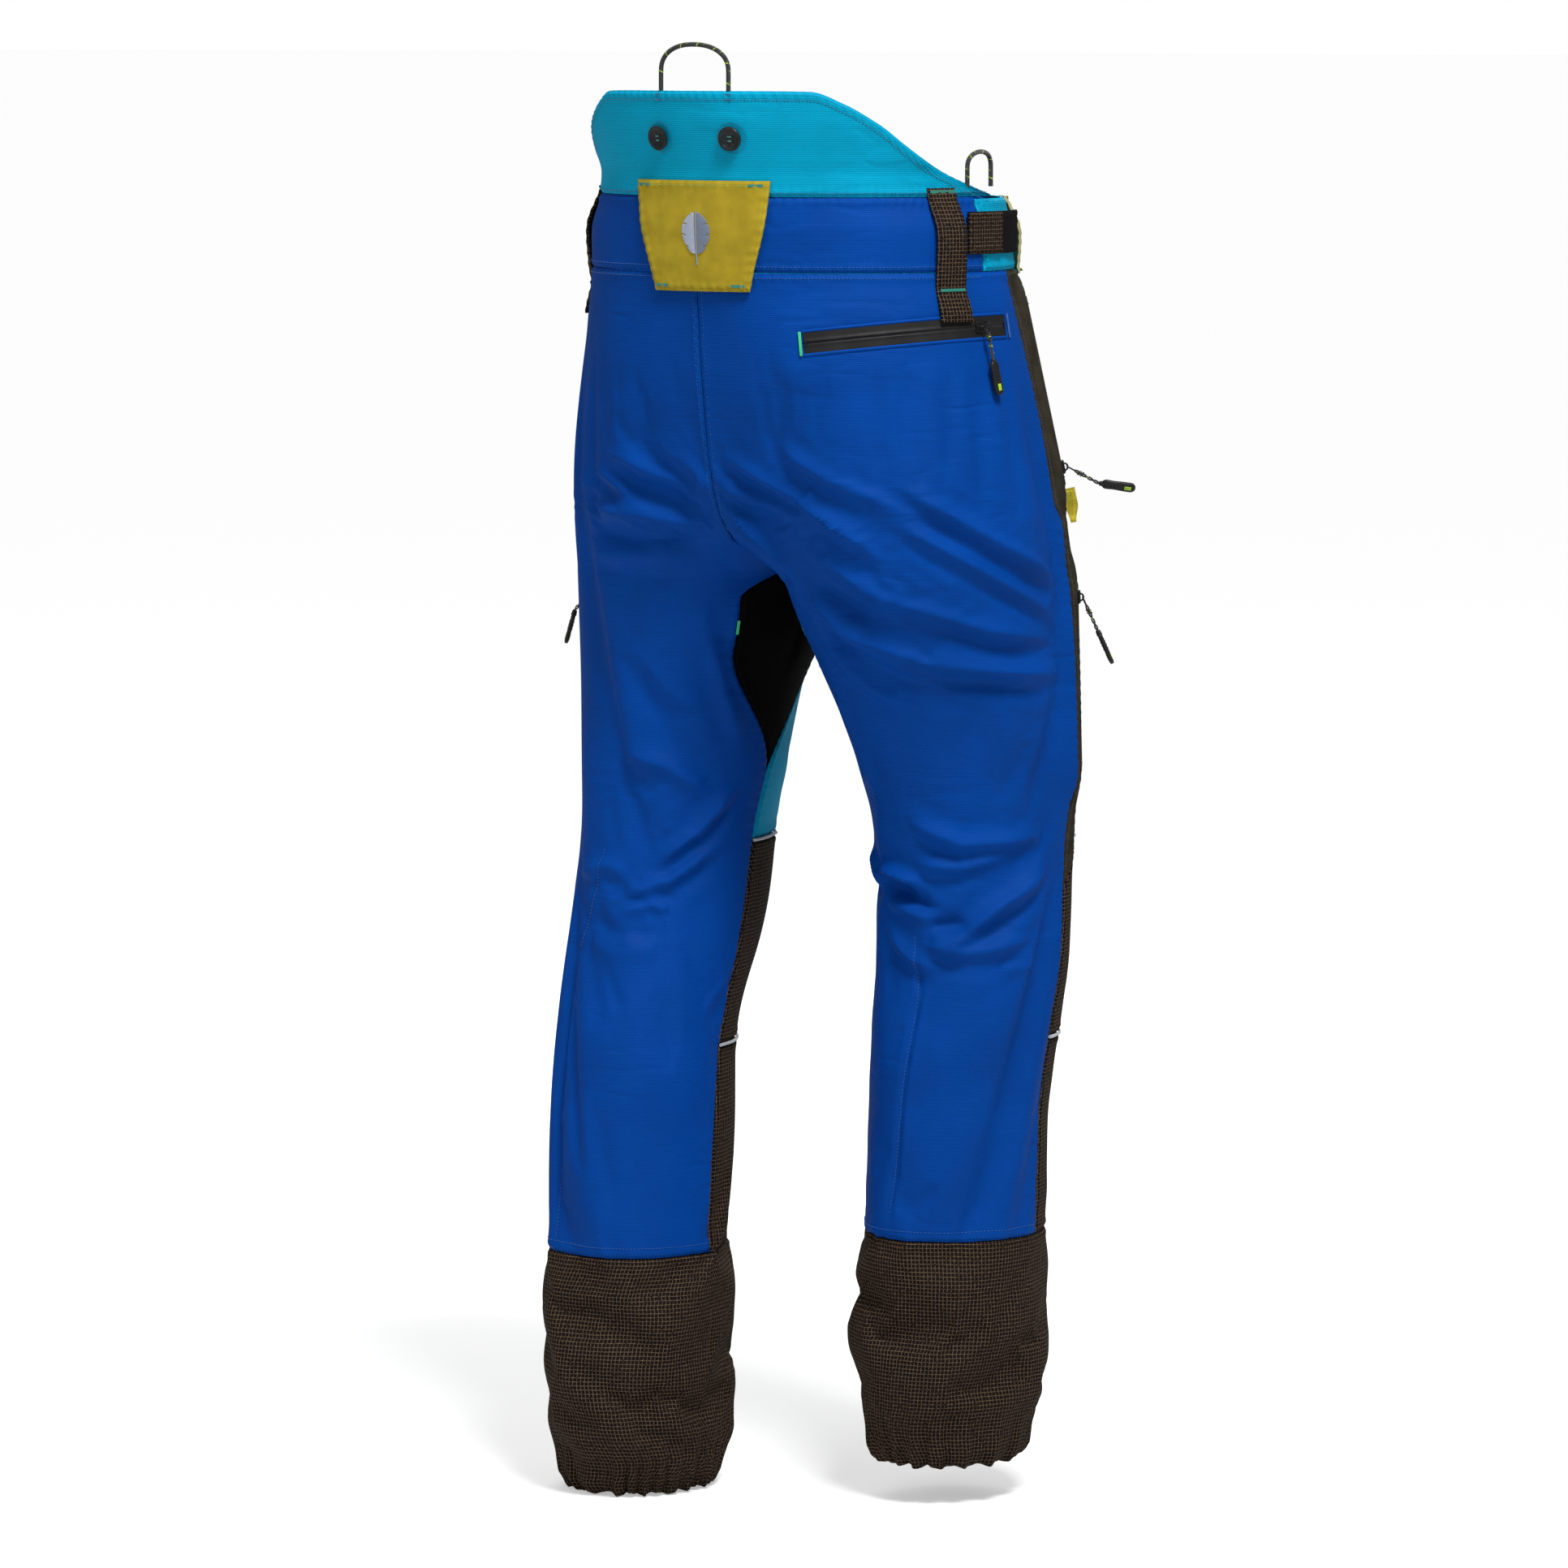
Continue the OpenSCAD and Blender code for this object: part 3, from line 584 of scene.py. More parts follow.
def ripstop(name, color, thread, rib=1.7):
    """Plain-weave shell fabric with a fine cross rib."""
    m = Nodes(name, color, rough=0.62, spec=0.06)
    u, v = m.uv()
    where = m.vector(u, v)
    ribs = m.math("SINE", m.math("MULTIPLY", v, 2 * math.pi / rib))
    slub = m.noise(m.vector(m.math("MULTIPLY", u, 0.12), m.math("MULTIPLY", v, 1.6)), 1.0, 2)
    ribs = m.math("MULTIPLY", m.math("MULTIPLY_ADD", ribs, 0.5, 0.5), m.math("MULTIPLY_ADD", slub, 0.9, 0.4))
    yarn = m.math("SINE", m.math("MULTIPLY", u, 2 * math.pi / 0.9))
    cloudy = m.noise(where, 0.012, 4)
    dyed = m.mix(m.ramp(cloudy, 0.3, 0.7), tint(color, 0.9), tint(color, 1.1))
    dyed = m.mix(m.math("MULTIPLY", ribs, 0.62), dyed, tint(color, 0.6))
    dyed, stitch = stitched(m, dyed, thread)
    weave = m.math("ADD", m.math("MULTIPLY", ribs, -0.7), m.math("MULTIPLY", yarn, 0.18))
    normal = m.bump(weave, 0.22, 0.55)
    # fine creases left by handling, on top of the modelled folds
    drift = m.math("MULTIPLY_ADD", m.noise(where, 0.011, 2), 60, u)
    valley = m.math("ABSOLUTE", m.math("SUBTRACT", m.noise(m.vector(m.math("MULTIPLY", drift, 0.011),
                                                                    m.math("MULTIPLY", v, 0.034)), 1.0, 2), 0.5))
    creased = m.math("MULTIPLY", m.ramp(valley, 0.0, 0.11), m.ramp(m.noise(where, 0.008, 2), 0.42, 0.62))
    normal = m.bump(creased, 1.0, 0.45, normal)
    normal = m.bump(stitch, 0.5, 0.8, normal)
    rough = m.math("MULTIPLY_ADD", cloudy, 0.2, 0.52)
    return m.finish(dyed, normal, rough)


def check_cloth(name, color, line_color, pitch=3.2):
    """Heavy dark fabric with a fine grid of paler yarns."""
    m = Nodes(name, color, rough=0.8, spec=0.06)
    u, v = m.uv()
    lines = []
    for c in (u, v):
        saw = m.math("ABSOLUTE", m.math("SUBTRACT", m.math("FRACT", m.math("DIVIDE", c, pitch)), 0.5))
        lines.append(m.ramp(saw, 0.15, 0.03))
    broken = m.noise(m.vector(u, v), 0.55, 2)
    grid = m.math("MAXIMUM", lines[0], lines[1])
    grid = m.math("MULTIPLY", grid, m.ramp(broken, 0.25, 0.6))
    patchy = m.noise(m.vector(u, v), 0.02, 3)
    cloth = m.mix(m.ramp(patchy, 0.3, 0.7), tint(color, 0.8), tint(color, 1.2))
    cloth = m.mix(m.math("MULTIPLY", grid, 0.85), cloth, line_color)
    cloth, _ = stitched(m, cloth, tint(color, 0.5))
    yarn = m.math("MULTIPLY", m.math("SINE", m.math("MULTIPLY", u, 2 * math.pi / 0.74)),
                  m.math("SINE", m.math("MULTIPLY", v, 2 * math.pi / 0.74)))
    height = m.math("ADD", m.math("MULTIPLY", yarn, 0.3), m.math("MULTIPLY", grid, 0.7))
    return m.finish(cloth, m.bump(height, 0.3, 0.6))


def knit(name, color, course=1.1):
    """Stretch knit: fine slanted loops, quite matt."""
    m = Nodes(name, color, rough=0.9, spec=0.04)
    u, v = m.uv()
    zig = m.math("PINGPONG", u, course / 2)
    loops = m.math("SINE", m.math("MULTIPLY", m.math("ADD", v, zig), 2 * math.pi / course))
    fuzz = m.noise(m.vector(u, v), 0.05, 4)
    dyed = m.mix(m.ramp(fuzz, 0.3, 0.7), tint(color, 0.75), tint(color, 1.35))
    dyed = m.mix(m.math("MULTIPLY_ADD", loops, 0.15, 0.15), dyed, tint(color, 0.5))
    dyed, _ = stitched(m, dyed, tint(color, 2.2))
    return m.finish(dyed, m.bump(loops, 0.2, 0.5))


def woven(name, color, pitch=0.8, rough=0.85, thread=None):
    """Plain canvas or webbing with visible yarns."""
    m = Nodes(name, color, rough=rough, spec=0.08)
    u, v = m.uv()
    warp = m.math("SINE", m.math("MULTIPLY", u, 2 * math.pi / pitch))
    weft = m.math("SINE", m.math("MULTIPLY", v, 2 * math.pi / pitch))
    yarn = m.math("MULTIPLY", warp, weft)
    worn = m.noise(m.vector(u, v), 0.06, 4)
    dyed = m.mix(m.ramp(worn, 0.3, 0.7), tint(color, 0.86), tint(color, 1.12))
    dyed = m.mix(m.math("MULTIPLY_ADD", yarn, 0.16, 0.16), dyed, tint(color, 0.6))
    dyed, stitch = stitched(m, dyed, thread or tint(color, 1.5))
    return m.finish(dyed, m.bump(m.math("ADD", yarn, stitch), 0.22, 0.6))


def moulded(name, color, rough, metal=0.0, grain=260.0):
    """Moulded plastic, lacquered metal or rubbery tape with a fine grain."""
    m = Nodes(name, color, rough=rough, metal=metal, spec=0.3)
    where = m.new("ShaderNodeTexCoord", out=3)
    speck = m.noise(where, grain, 5)
    wear = m.noise(where, 45, 3)
    shade = m.mix(m.ramp(wear, 0.45, 0.75), color, tint(color, 1.8))
    return m.finish(shade, m.bump(speck, 0.06, 0.4), m.math("MULTIPLY_ADD", speck, 0.25, rough - 0.1))


def cord_sleeve(name, color, fleck):
    """Braided cord: diamonds of yarn, some of them bright."""
    m = Nodes(name, color, rough=0.7, sheen=0.2)
    u, v = m.uv()
    turns = m.math("DIVIDE", u, 3.9)
    a = m.math("FRACT", m.math("ADD", turns, m.math("DIVIDE", v, 5.4)))
    b = m.math("FRACT", m.math("SUBTRACT", turns, m.math("DIVIDE", v, 5.4)))
    braid = m.math("MULTIPLY", m.math("SINE", m.math("MULTIPLY", a, 6 * math.pi)),
                   m.math("SINE", m.math("MULTIPLY", b, 6 * math.pi)))
    bright = m.math("MULTIPLY", m.ramp(a, 0.84, 0.87), m.ramp(m.math("FRACT", m.math("DIVIDE", v, 8.1)), 0.55, 0.6))
    dyed = m.mix(bright, m.mix(m.math("MULTIPLY_ADD", braid, 0.3, 0.3), color, tint(color, 2.5)), fleck)
    return m.finish(dyed, m.bump(braid, 0.35, 0.8))


def thread(name, color):
    m = Nodes(name, color, rough=0.55, sheen=0.3)
    twist = m.new("ShaderNodeTexCoord", out=3)
    ply = m.noise(twist, 1500, 2)
    return m.finish(m.mix(ply, tint(color, 0.7), tint(color, 1.25)), m.bump(ply, 0.1, 0.5))


BLUE, CYAN = (0.0, 0.056, 0.325), (0.0, 0.345, 0.56)
LIME, TEAL, SPRING = (0.42, 0.68, 0.03), (0.01, 0.22, 0.17), (0.05, 0.62, 0.24)
BLUE_CLOTH = ripstop("blue_ripstop", BLUE, (0.0, 0.09, 0.40))
CYAN_CLOTH = ripstop("cyan_ripstop", CYAN, (0.0, 0.24, 0.42))
CHECK = check_cloth("check_ripstop", (0.0085, 0.0056, 0.0046), (0.15, 0.1, 0.064))
OLIVE = knit("olive_stretch", (0.036, 0.031, 0.0215))
BLACK_KNIT = knit("black_stretch", (0.0024, 0.0023, 0.0023), 0.9)
MUSTARD = woven("mustard_canvas", (0.43, 0.318, 0.023), 0.8, thread=(0.34, 0.25, 0.012))
CREAM = woven("cream_webbing", (0.46, 0.41, 0.2), 1.1)
YELLOW_TAB = woven("yellow_tab", (0.55, 0.45, 0.04), 0.8)
LINING = woven("lining_mesh", (0.035, 0.042, 0.055), 1.6)
ELASTIC = woven("elastic_ribs", (0.012, 0.012, 0.013), 1.4)
FIBRE = woven("guard_fibre", (0.7, 0.69, 0.62), 3.0)
HOOKS = woven("hook_tape", (0.006, 0.006, 0.0065), 1.5)
SILVER = woven("silver_piping", (0.62, 0.64, 0.66), 0.6, rough=0.45)
TAPE = moulded("zip_tape", (0.007, 0.007, 0.0075), 0.55)
COIL = moulded("zip_coil", (0.01, 0.01, 0.01), 0.35)
METAL = moulded("slider_metal", (0.028, 0.028, 0.03), 0.38, 0.8)
RUBBER = moulded("puller_rubber", (0.01, 0.01, 0.011), 0.42)
BUTTON = moulded("button_black", (0.011, 0.012, 0.013), 0.28)
TIP = moulded("lime_tip", (0.36, 0.62, 0.03), 0.4)
CORD = cord_sleeve("cord", (0.006, 0.006, 0.006), LIME)
THREADS = {"cyan": thread("cyan_thread", (0.0, 0.27, 0.4)), "teal": thread("teal_thread", TEAL),
           "green": thread("green_thread", SPRING), "blue": thread("blue_thread", (0.0, 0.085, 0.39)),
           "black": thread("black_thread", (0.01, 0.01, 0.01)), "white": thread("silver_thread", (0.42, 0.47, 0.6)),
           # darker copy of the silver thread: painted shade on one half of the leaf and on its stem
           "shade": thread("silver_thread_painted_shade", (0.2, 0.25, 0.36)),
           "cream": thread("cream_thread", (0.55, 0.5, 0.3)),
           "deep": thread("deep_cyan_thread", (0.0, 0.14, 0.25)), "gold": thread("gold_thread", (0.3, 0.22, 0.01))}


# ---- Meshes -------------------------------------------------------------------------------------

def spaced(low, high, count, cluster=0.45):
    """Values from low to high that lie closer together at both ends."""
    s = np.linspace(0, 1, count)
    return low + (high - low) * ((1 - cluster) * s + cluster * (0.5 - 0.5 * np.cos(np.pi * s)))


def make(name, points, faces, material, uv=None, attributes=None, sharp=40.0):
    mesh = bpy.data.meshes.new(name)
    mesh.from_pydata((np.asarray(points, float).reshape(-1, 3) * MM).tolist(), [], [list(map(int, f)) for f in faces])
    mesh.validate()
    for m in (material if isinstance(material, (list, tuple)) else [material]):
        mesh.materials.append(m)
    loops = np.zeros(len(mesh.loops), int)
    mesh.loops.foreach_get("vertex_index", loops)
    layer = mesh.uv_layers.new(name="cloth")
    if uv is None:
        uv = np.asarray(points, float).reshape(-1, 3)[:, [0, 2]]
    layer.data.foreach_set("uv", (np.asarray(uv, float).reshape(-1, 2)[loops] * MM).ravel())
    for key, values in (attributes or {}).items():
        mesh.attributes.new(key, "FLOAT", "POINT").data.foreach_set("value", np.asarray(values, np.float32).ravel())
    mesh.polygons.foreach_set("use_smooth", np.ones(len(mesh.polygons), bool))
    mesh.set_sharp_from_angle(angle=math.radians(sharp))
    obj = bpy.data.objects.new(name, mesh)
    bpy.context.scene.collection.objects.link(obj)
    return obj


def place(obj, where, slot, nodes=()):
    """where is a body's name, or ("hip" | "knee", side) for cloth that is left where it was built."""
    if isinstance(where, str):
        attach(obj, where)
    else:
        kind, side = where
        if kind == "hip":
            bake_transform(obj)
        else:
            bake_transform(obj)
    if nodes:
        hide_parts(*([nodes] if isinstance(nodes, str) else nodes))
    return obj


def shell(name, outer, normals, thick, material, uv, attributes=None, closed=False, sharp=50.0):
    """Cloth with thickness, from a grid of outer points."""
    rows, cols = outer.shape[:2]
    inner = outer - normals * thick
    points = np.concatenate([outer.reshape(-1, 3), inner.reshape(-1, 3)])
    index = np.arange(rows * cols).reshape(rows, cols)
    if closed:
        index = np.concatenate([index, index[:1]])
    a, b, c, d = index[:-1, :-1], index[1:, :-1], index[1:, 1:], index[:-1, 1:]
    quads = np.stack([a, b, c, d], -1).reshape(-1, 4)
    size = rows * cols
    faces = [quads, quads[:, ::-1] + size]
    rims = [index[:, 0], index[::-1, -1]] + ([] if closed else [index[-1, :], index[0, ::-1]])
    for rim in rims:
        faces.append(np.stack([rim[1:], rim[:-1], rim[:-1] + size, rim[1:] + size], -1))
    # quads run the right way round when their normal agrees with the outer normals
    p = outer.reshape(-1, 3)
    q = quads[len(quads) // 2]
    facing = np.dot(np.cross(p[q[1]] - p[q[0]], p[q[3]] - p[q[0]]), normals.reshape(-1, 3)[q[0]])
    faces = np.concatenate(faces)
    if facing < 0:
        faces = faces[:, ::-1]
    twice = {k: np.concatenate([np.ravel(v)] * 2) for k, v in (attributes or {}).items()}
    return make(name, points, faces, material, np.concatenate([uv.reshape(-1, 2)] * 2), twice, sharp)


def lengths(points, axis):
    """Distance along a grid of points from its first row or column."""
    step = np.linalg.norm(np.diff(points, axis=axis), axis=-1)
    zero = np.zeros_like(np.take(step, [0], axis=axis))
    return np.concatenate([zero, np.cumsum(step, axis=axis)], axis=axis)


def sewn(points, normals, edges="lrbt", depth=1.5):
    """Rolls the sewn edges of a piece inwards. Rows run across, columns run up. Returns the points,
    the cloth coordinates and the distance to, and along, the nearest sewn edge."""
    u, v = lengths(points, 0), lengths(points, 1)
    far = np.full(u.shape, 60.0)
    choices = {"l": (u, v), "r": (u[-1:] - u, v), "b": (v, u), "t": (v[:, -1:] - v, u)}
    edge, along = far.copy(), v.copy()
    for key in edges:
        gap, run = choices[key]
        along = np.where(gap < edge, run, along)
        edge = np.minimum(edge, gap)
    pucker = 0.32 * bell(edge / 8) * np.sin(along * 2 * math.pi / 8.3 + 1.5 * np.sin(along / 23))
    drop = -depth * bell(edge / 1.7) + 0.4 * bell((edge - 4.2) / 2.4) + pucker
    middle = u - u[u.shape[0] // 2]
    return points + normals * drop[..., None], np.stack([middle, points[..., 2]], -1), {"edge": edge, "along": along}


def sewn_piece(name, points, normals, thick, material, where, slot, nodes=(), edges="lrbt", depth=1.5):
    points, uv, attributes = sewn(points, normals, edges, depth)
    return place(shell(name, points, normals, thick, material, uv, attributes), where, slot, nodes)


def panel(name, side, low, high, rows, cols, from_turn, to_turn, material, where, slot, nodes=(),
          edges="lrbt"):
    h = spaced(low, high, rows)
    if low < CROTCH < high:     # more rows where the seat turns under
        h = np.unique(np.concatenate([h, np.arange(CROTCH - 6, CROTCH + 42, 1.6)]))
    s = spaced(0, 1, cols)[:, None]
    turn = from_turn(h)[None] * (1 - s) + to_turn(h)[None] * s
    p, n = SHEET[side].at(turn, np.broadcast_to(h, turn.shape))
    depth = np.where(turn > 0.9, 1.5 - 1.2 * smooth((h - CROTCH) / 20), 1.5)
    return sewn_piece(name, p, n, LEG_CLOTH, material, where, slot, nodes, edges, depth)


def ring_faces(count, sides, closed=False):
    """Faces between rings of points, with a flat face over each end unless the rings close on themselves."""
    index = np.arange(count * sides).reshape(count, sides)
    follow = np.concatenate([index, index[:1]]) if closed else index
    faces = [(follow[i, j], follow[i, (j + 1) % sides], follow[i + 1, (j + 1) % sides], follow[i + 1, j])
             for i in range(len(follow) - 1) for j in range(sides)]
    return faces if closed else faces + [list(index[0][::-1]), list(index[-1])]


def tube(name, path, radius, material, sides=12, closed=False):
    """Round cord along a path."""
    path = np.asarray(path, float)
    tangent = np.gradient(path, axis=0)
    if closed:
        tangent = np.roll(path, -1, 0) - np.roll(path, 1, 0)
    tangent /= np.linalg.norm(tangent, axis=1, keepdims=True)
    normal = np.cross(tangent[0], (0.31, 0.87, 0.39))
    frames = []
    for t in tangent:
        normal = normal - t * (normal @ t)
        normal /= np.linalg.norm(normal)
        frames.append((normal, np.cross(t, normal)))
    turn = np.linspace(0, 2 * math.pi, sides, endpoint=False)
    radius = np.broadcast_to(radius, len(path))
    points = np.array([[p + r * (math.cos(a) * x + math.sin(a) * y) for a in turn]
                       for p, r, (x, y) in zip(path, radius, frames)])
    length = np.concatenate([[0], np.cumsum(np.linalg.norm(np.diff(path, axis=0), axis=1))])
    uv = np.stack(np.broadcast_arrays((turn * 3.9 / (2 * math.pi))[None], length[:, None]), -1)
    return make(name, points, ring_faces(len(path), sides, closed), material, uv)


def join(name, objects):
    """Joins meshes into one object, keeping each one's material."""
    first = objects[0]
    with bpy.context.temp_override(active_object=first, selected_editable_objects=objects, selected_objects=objects):
        bpy.ops.object.join()
    first.name = first.data.name = name
    return first


def stitches(name, path, normals, color, length=2.3, pitch=3.1, radius=0.28, lift=0.25):
    """A run of single stitches along a path that lies on the cloth."""
    path, normals = np.asarray(path, float), np.asarray(normals, float)
    run = np.concatenate([[0], np.cumsum(np.linalg.norm(np.diff(path, axis=0), axis=1))])
    at = np.arange(pitch / 2, run[-1], pitch)
    points, faces = [], []
    for a in at:
        ends = [np.array([np.interp(a + k * length / 2, run, path[:, c]) for c in range(3)]) for k in (-1, 1)]
        n = np.array([np.interp(a, run, normals[:, c]) for c in range(3)])
        along = ends[1] - ends[0]
        across = np.cross(along, n)
        across *= radius / (np.linalg.norm(across) + 1e-9)
        up = n / np.linalg.norm(n)
        middle = (ends[0] + ends[1]) / 2 + up * lift
        base = len(points)
        quarter = along * 0.28
        points += [ends[0] - up * 0.2, ends[1] - up * 0.2]
        for m in (middle - quarter, middle + quarter):
            points += [m + across, m + up * radius, m - across, m - up * radius]
        for j in range(4):
            k = (j + 1) % 4
            faces += [(base, base + 2 + j, base + 2 + k), (base + 1, base + 6 + k, base + 6 + j),
                      (base + 2 + j, base + 6 + j, base + 6 + k, base + 2 + k)]
    return make(name, points, faces, THREADS[color], sharp=80)


def bar_tack(name, centre, along, normal, length, color, width=2.2):
    """Dense short stitches over a line: the reinforcement at the end of a seam."""
    along = np.asarray(along, float) / np.linalg.norm(along)
    across = np.cross(normal, along)
    across /= np.linalg.norm(across)
    steps = np.arange(-length / 2, length / 2, 0.55)
    path, normals = [], []
    for i, s in enumerate(steps):
        for k in ((-1, 1) if i % 2 else (1, -1)):
            path.append(centre + along * s + across * width / 2 * k + np.asarray(normal) * 0.35)
            normals.append(normal)
    return tube(name, path, 0.3, THREADS[color], sides=5)


# ---- Panels of the legs and seat ------------------------------------------------------------------

def front_seam(h):
    return side_seam(h) - 0.17 * smooth((h - 488) / 62)


def gusset_edge(h):
    """Turn of the gusset's back edge; its front edge mirrors it."""
    return 1 - 0.205 * smooth((h - 586) / 112) * smooth((786 - h) / 46)


def inseam(h):
    return np.ones_like(h) * 0.9994


GAP = 0.0007


def minus(f, amount):
    return lambda h: f(h) - amount


def negative(f, amount=0.0):
    return lambda h: -f(h) + amount


def leg_panels(side):
    s = SIDE_NAME[side]
    body_of = {"hip": ("hip", side), "knee": ("knee", side)}
    back_edge = minus(gusset_edge, GAP)
    front_edge = negative(gusset_edge, GAP)
    outer = lambda h: side_seam(h, side) + GAP
    inner = lambda h: side_seam(h, side) - GAP
    panel(s + "_seat_and_thigh_back", side, SPLIT, BAND - 0.3, 230, 150, outer, back_edge, BLUE_CLOTH,
          body_of["hip"], "blue_ripstop", s + "_back_panel", "lrt")
    panel(s + "_calf_back", side, CUFF + 0.4, SPLIT, 230, 130, outer, back_edge, BLUE_CLOTH,
          body_of["knee"], "blue_ripstop", (), "lrb")
    panel(s + "_thigh_front", side, KNEE_HIGH + 0.4, BAND - 0.3, 240, 110, front_edge, minus(front_seam, GAP),
          CYAN_CLOTH, body_of["hip"], "cyan_ripstop", s + "_front_panel")
    panel(s + "_side_stretch", side, 493, BAND - 0.3, 230, 26, lambda h: front_seam(h) + GAP,
          inner, OLIVE, body_of["hip"], "olive_stretch", s + "_side_panel")
    low, high = 590.0, 783.0
    h = np.unique(np.concatenate([spaced(low, high, 90), np.arange(CROTCH - 6, high, 1.5)]))
    for part, edge, end in (("back", gusset_edge, 0.9996), ("front", negative(gusset_edge), -0.9996)):
        t = np.linspace(0, 1, 34)[:, None]
        turn = (edge(h) + (GAP if part == "back" else -GAP))[None] * (1 - t) + end * t
        p, n = SHEET[side].at(turn, np.broadcast_to(h, turn.shape))
        sewn_piece(f"{s}_gusset_{part}", p, n, LEG_CLOTH, BLACK_KNIT, body_of["hip"], "black_stretch",
                   s + "_gusset" if part == "back" else (), "l")
    panel(s + "_knee_front", side, KNEE_LOW + 1.4, KNEE_HIGH - 2.2, 110, 110, negative(inseam),
          minus(front_seam, GAP), CHECK, body_of["knee"], "check_ripstop", s + "_knee_panel")
    panel(s + "_shin_front", side, CUFF + 0.4, KNEE_LOW - 1.4, 80, 100, negative(inseam),
          minus(side_seam, GAP), CHECK, s + "_shin", "check_ripstop", s + "_shin_panel")
    cuff(side)
    for name, h, ride, end in (("knee", KNEE_HIGH - 1, s + "_thigh", front_seam),
                               ("shin", KNEE_LOW, s + "_shin", side_seam)):
        turn = np.linspace(-0.998, float(end(np.array(h))) - 0.002, 120)
        p, n = SHEET[side].at(turn, np.full(turn.shape, float(h)))
        place(tube(f"{s}_{name}_piping", p + n * 0.5, 1.35, SILVER, 10), ride, "silver_piping", f"{s}_{name}_piping")


def cuff(side):
    s = SIDE_NAME[side]
    turn = np.linspace(-1, 1, 321)[:-1, None]
    h = spaced(1.5, CUFF - 0.4, 100)[None]
    turn, h = np.broadcast_arrays(turn, h)
    p, n = SHEET[side].at(turn, h)
    # the hem turns in under itself, deeper between the puckers
    even = sum(np.roll(n, k, 0) for k in range(-9, 10))
    even /= np.linalg.norm(even, axis=-1, keepdims=True)
    low = smooth((30 - h) / 16)[..., None]
    n = n * (1 - low) + even * low
    fold = smooth((14 - h) / 12)
    p = p - n * (3.6 * fold)[..., None]
    p[..., 2] += 1.2 * fold * np.sin(turn * 18 * math.pi + side)
    p, uv, attributes = sewn(p, n, "tb", 1.3)
    place(shell(s + "_cuff_cloth", p, n, 1.5, CHECK, uv, attributes, closed=True), s + "_shin", "check_ripstop",
          s + "_cuff")
    rows = np.linspace(5, 24, 30)[None]
    turn = np.linspace(-1, 1, 241)[:-1, None]
    turn, rows = np.broadcast_arrays(turn, rows)
    p, n = SHEET[side].at(turn, rows)
    smooth_ring = body(side, turn, rows)[0]
    p = smooth_ring - n * (10.5 + 0.5 * np.cos(rows * 2 * math.pi / 3.1))[..., None]
    uv = np.stack([lengths(p, 0), rows], -1)
    place(shell(s + "_hem_band", p, n, 1.2, ELASTIC, uv, closed=True), s + "_shin", "elastic", s + "_hem_elastic")


def guards_and_linings(side):
    s = SIDE_NAME[side]
    for name, low, high, where in (("thigh", 527, 710, ("hip", side)), ("shin", 72, 423, ("knee", side))):
        h = np.linspace(low, high, int((high - low) / 4))[None]
        t = np.linspace(-0.84, -0.06, 70)[:, None]
        turn, h = np.broadcast_arrays(t, h)
        p, n = SHEET[side].at(turn, h)
        quilt = 1.3 * np.abs(np.sin(turn * math.pi * 5.2) * np.sin(h * math.pi / 58)) ** 0.5
        sewn_piece(f"{s}_{name}_saw_guard", p - n * (6.4 - quilt)[..., None], n, 5.2, FIBRE, where, "guard_fibre",
                   f"{s}_{name}_guard", depth=2.2)
    for name, low, high, where in (("upper", SPLIT, 1000, ("hip", side)), ("lower", 42, SPLIT, ("knee", side))):
        h = np.linspace(low, high, int((high - low) / 5))[None]
        t = np.linspace(-0.95, 0.95, 110)[:, None]
        turn, h = np.broadcast_arrays(t, h)
        p, n = SHEET[side].at(turn, h)
        p = p - n * 13.2
        uv = np.stack([lengths(p, 0), h], -1)
        place(shell(f"{s}_{name}_lining", p, n, 0.9, LINING, uv), where, "lining",
              "leg_linings" if name == "upper" else ())


# ---- Waist ----------------------------------------------------------------------------------------

def top_edge(a):
    return BAND_TOP + (BACK_TOP - BAND_TOP) * monotone(
        np.abs(a), np.array([0, 20, 32, 41, 50, 59, 70, 85, 98, 102.0]),
        np.array([1, 1, 0.995, 0.88, 0.70, 0.49, 0.29, 0.12, 0.02, 0.0]))


def band(name, angles, low, high, material, slot, nodes, edges="tblr", thick=1.8, cols=50, off=0.0):
    """A waistband piece. low and high are functions of the angle round the waist."""
    a = np.asarray(angles, float)[:, None]
    s = spaced(0, 1, cols)[None]
    h = low(a) * (1 - s) + high(a) * s
    p, n = around(np.broadcast_to(a, h.shape), h)
    p, uv, attributes = sewn(p + n * off, n, edges)
    uv[..., 1] = h
    return place(shell(name, p, n, thick, material, uv, attributes), "seat", slot, nodes)


def edge_stitches(name, angles, h, color, off=0.3, **more):
    p, n = around(np.asarray(angles, float), h)
    return stitches(name, p + n * off, n, color, **more)


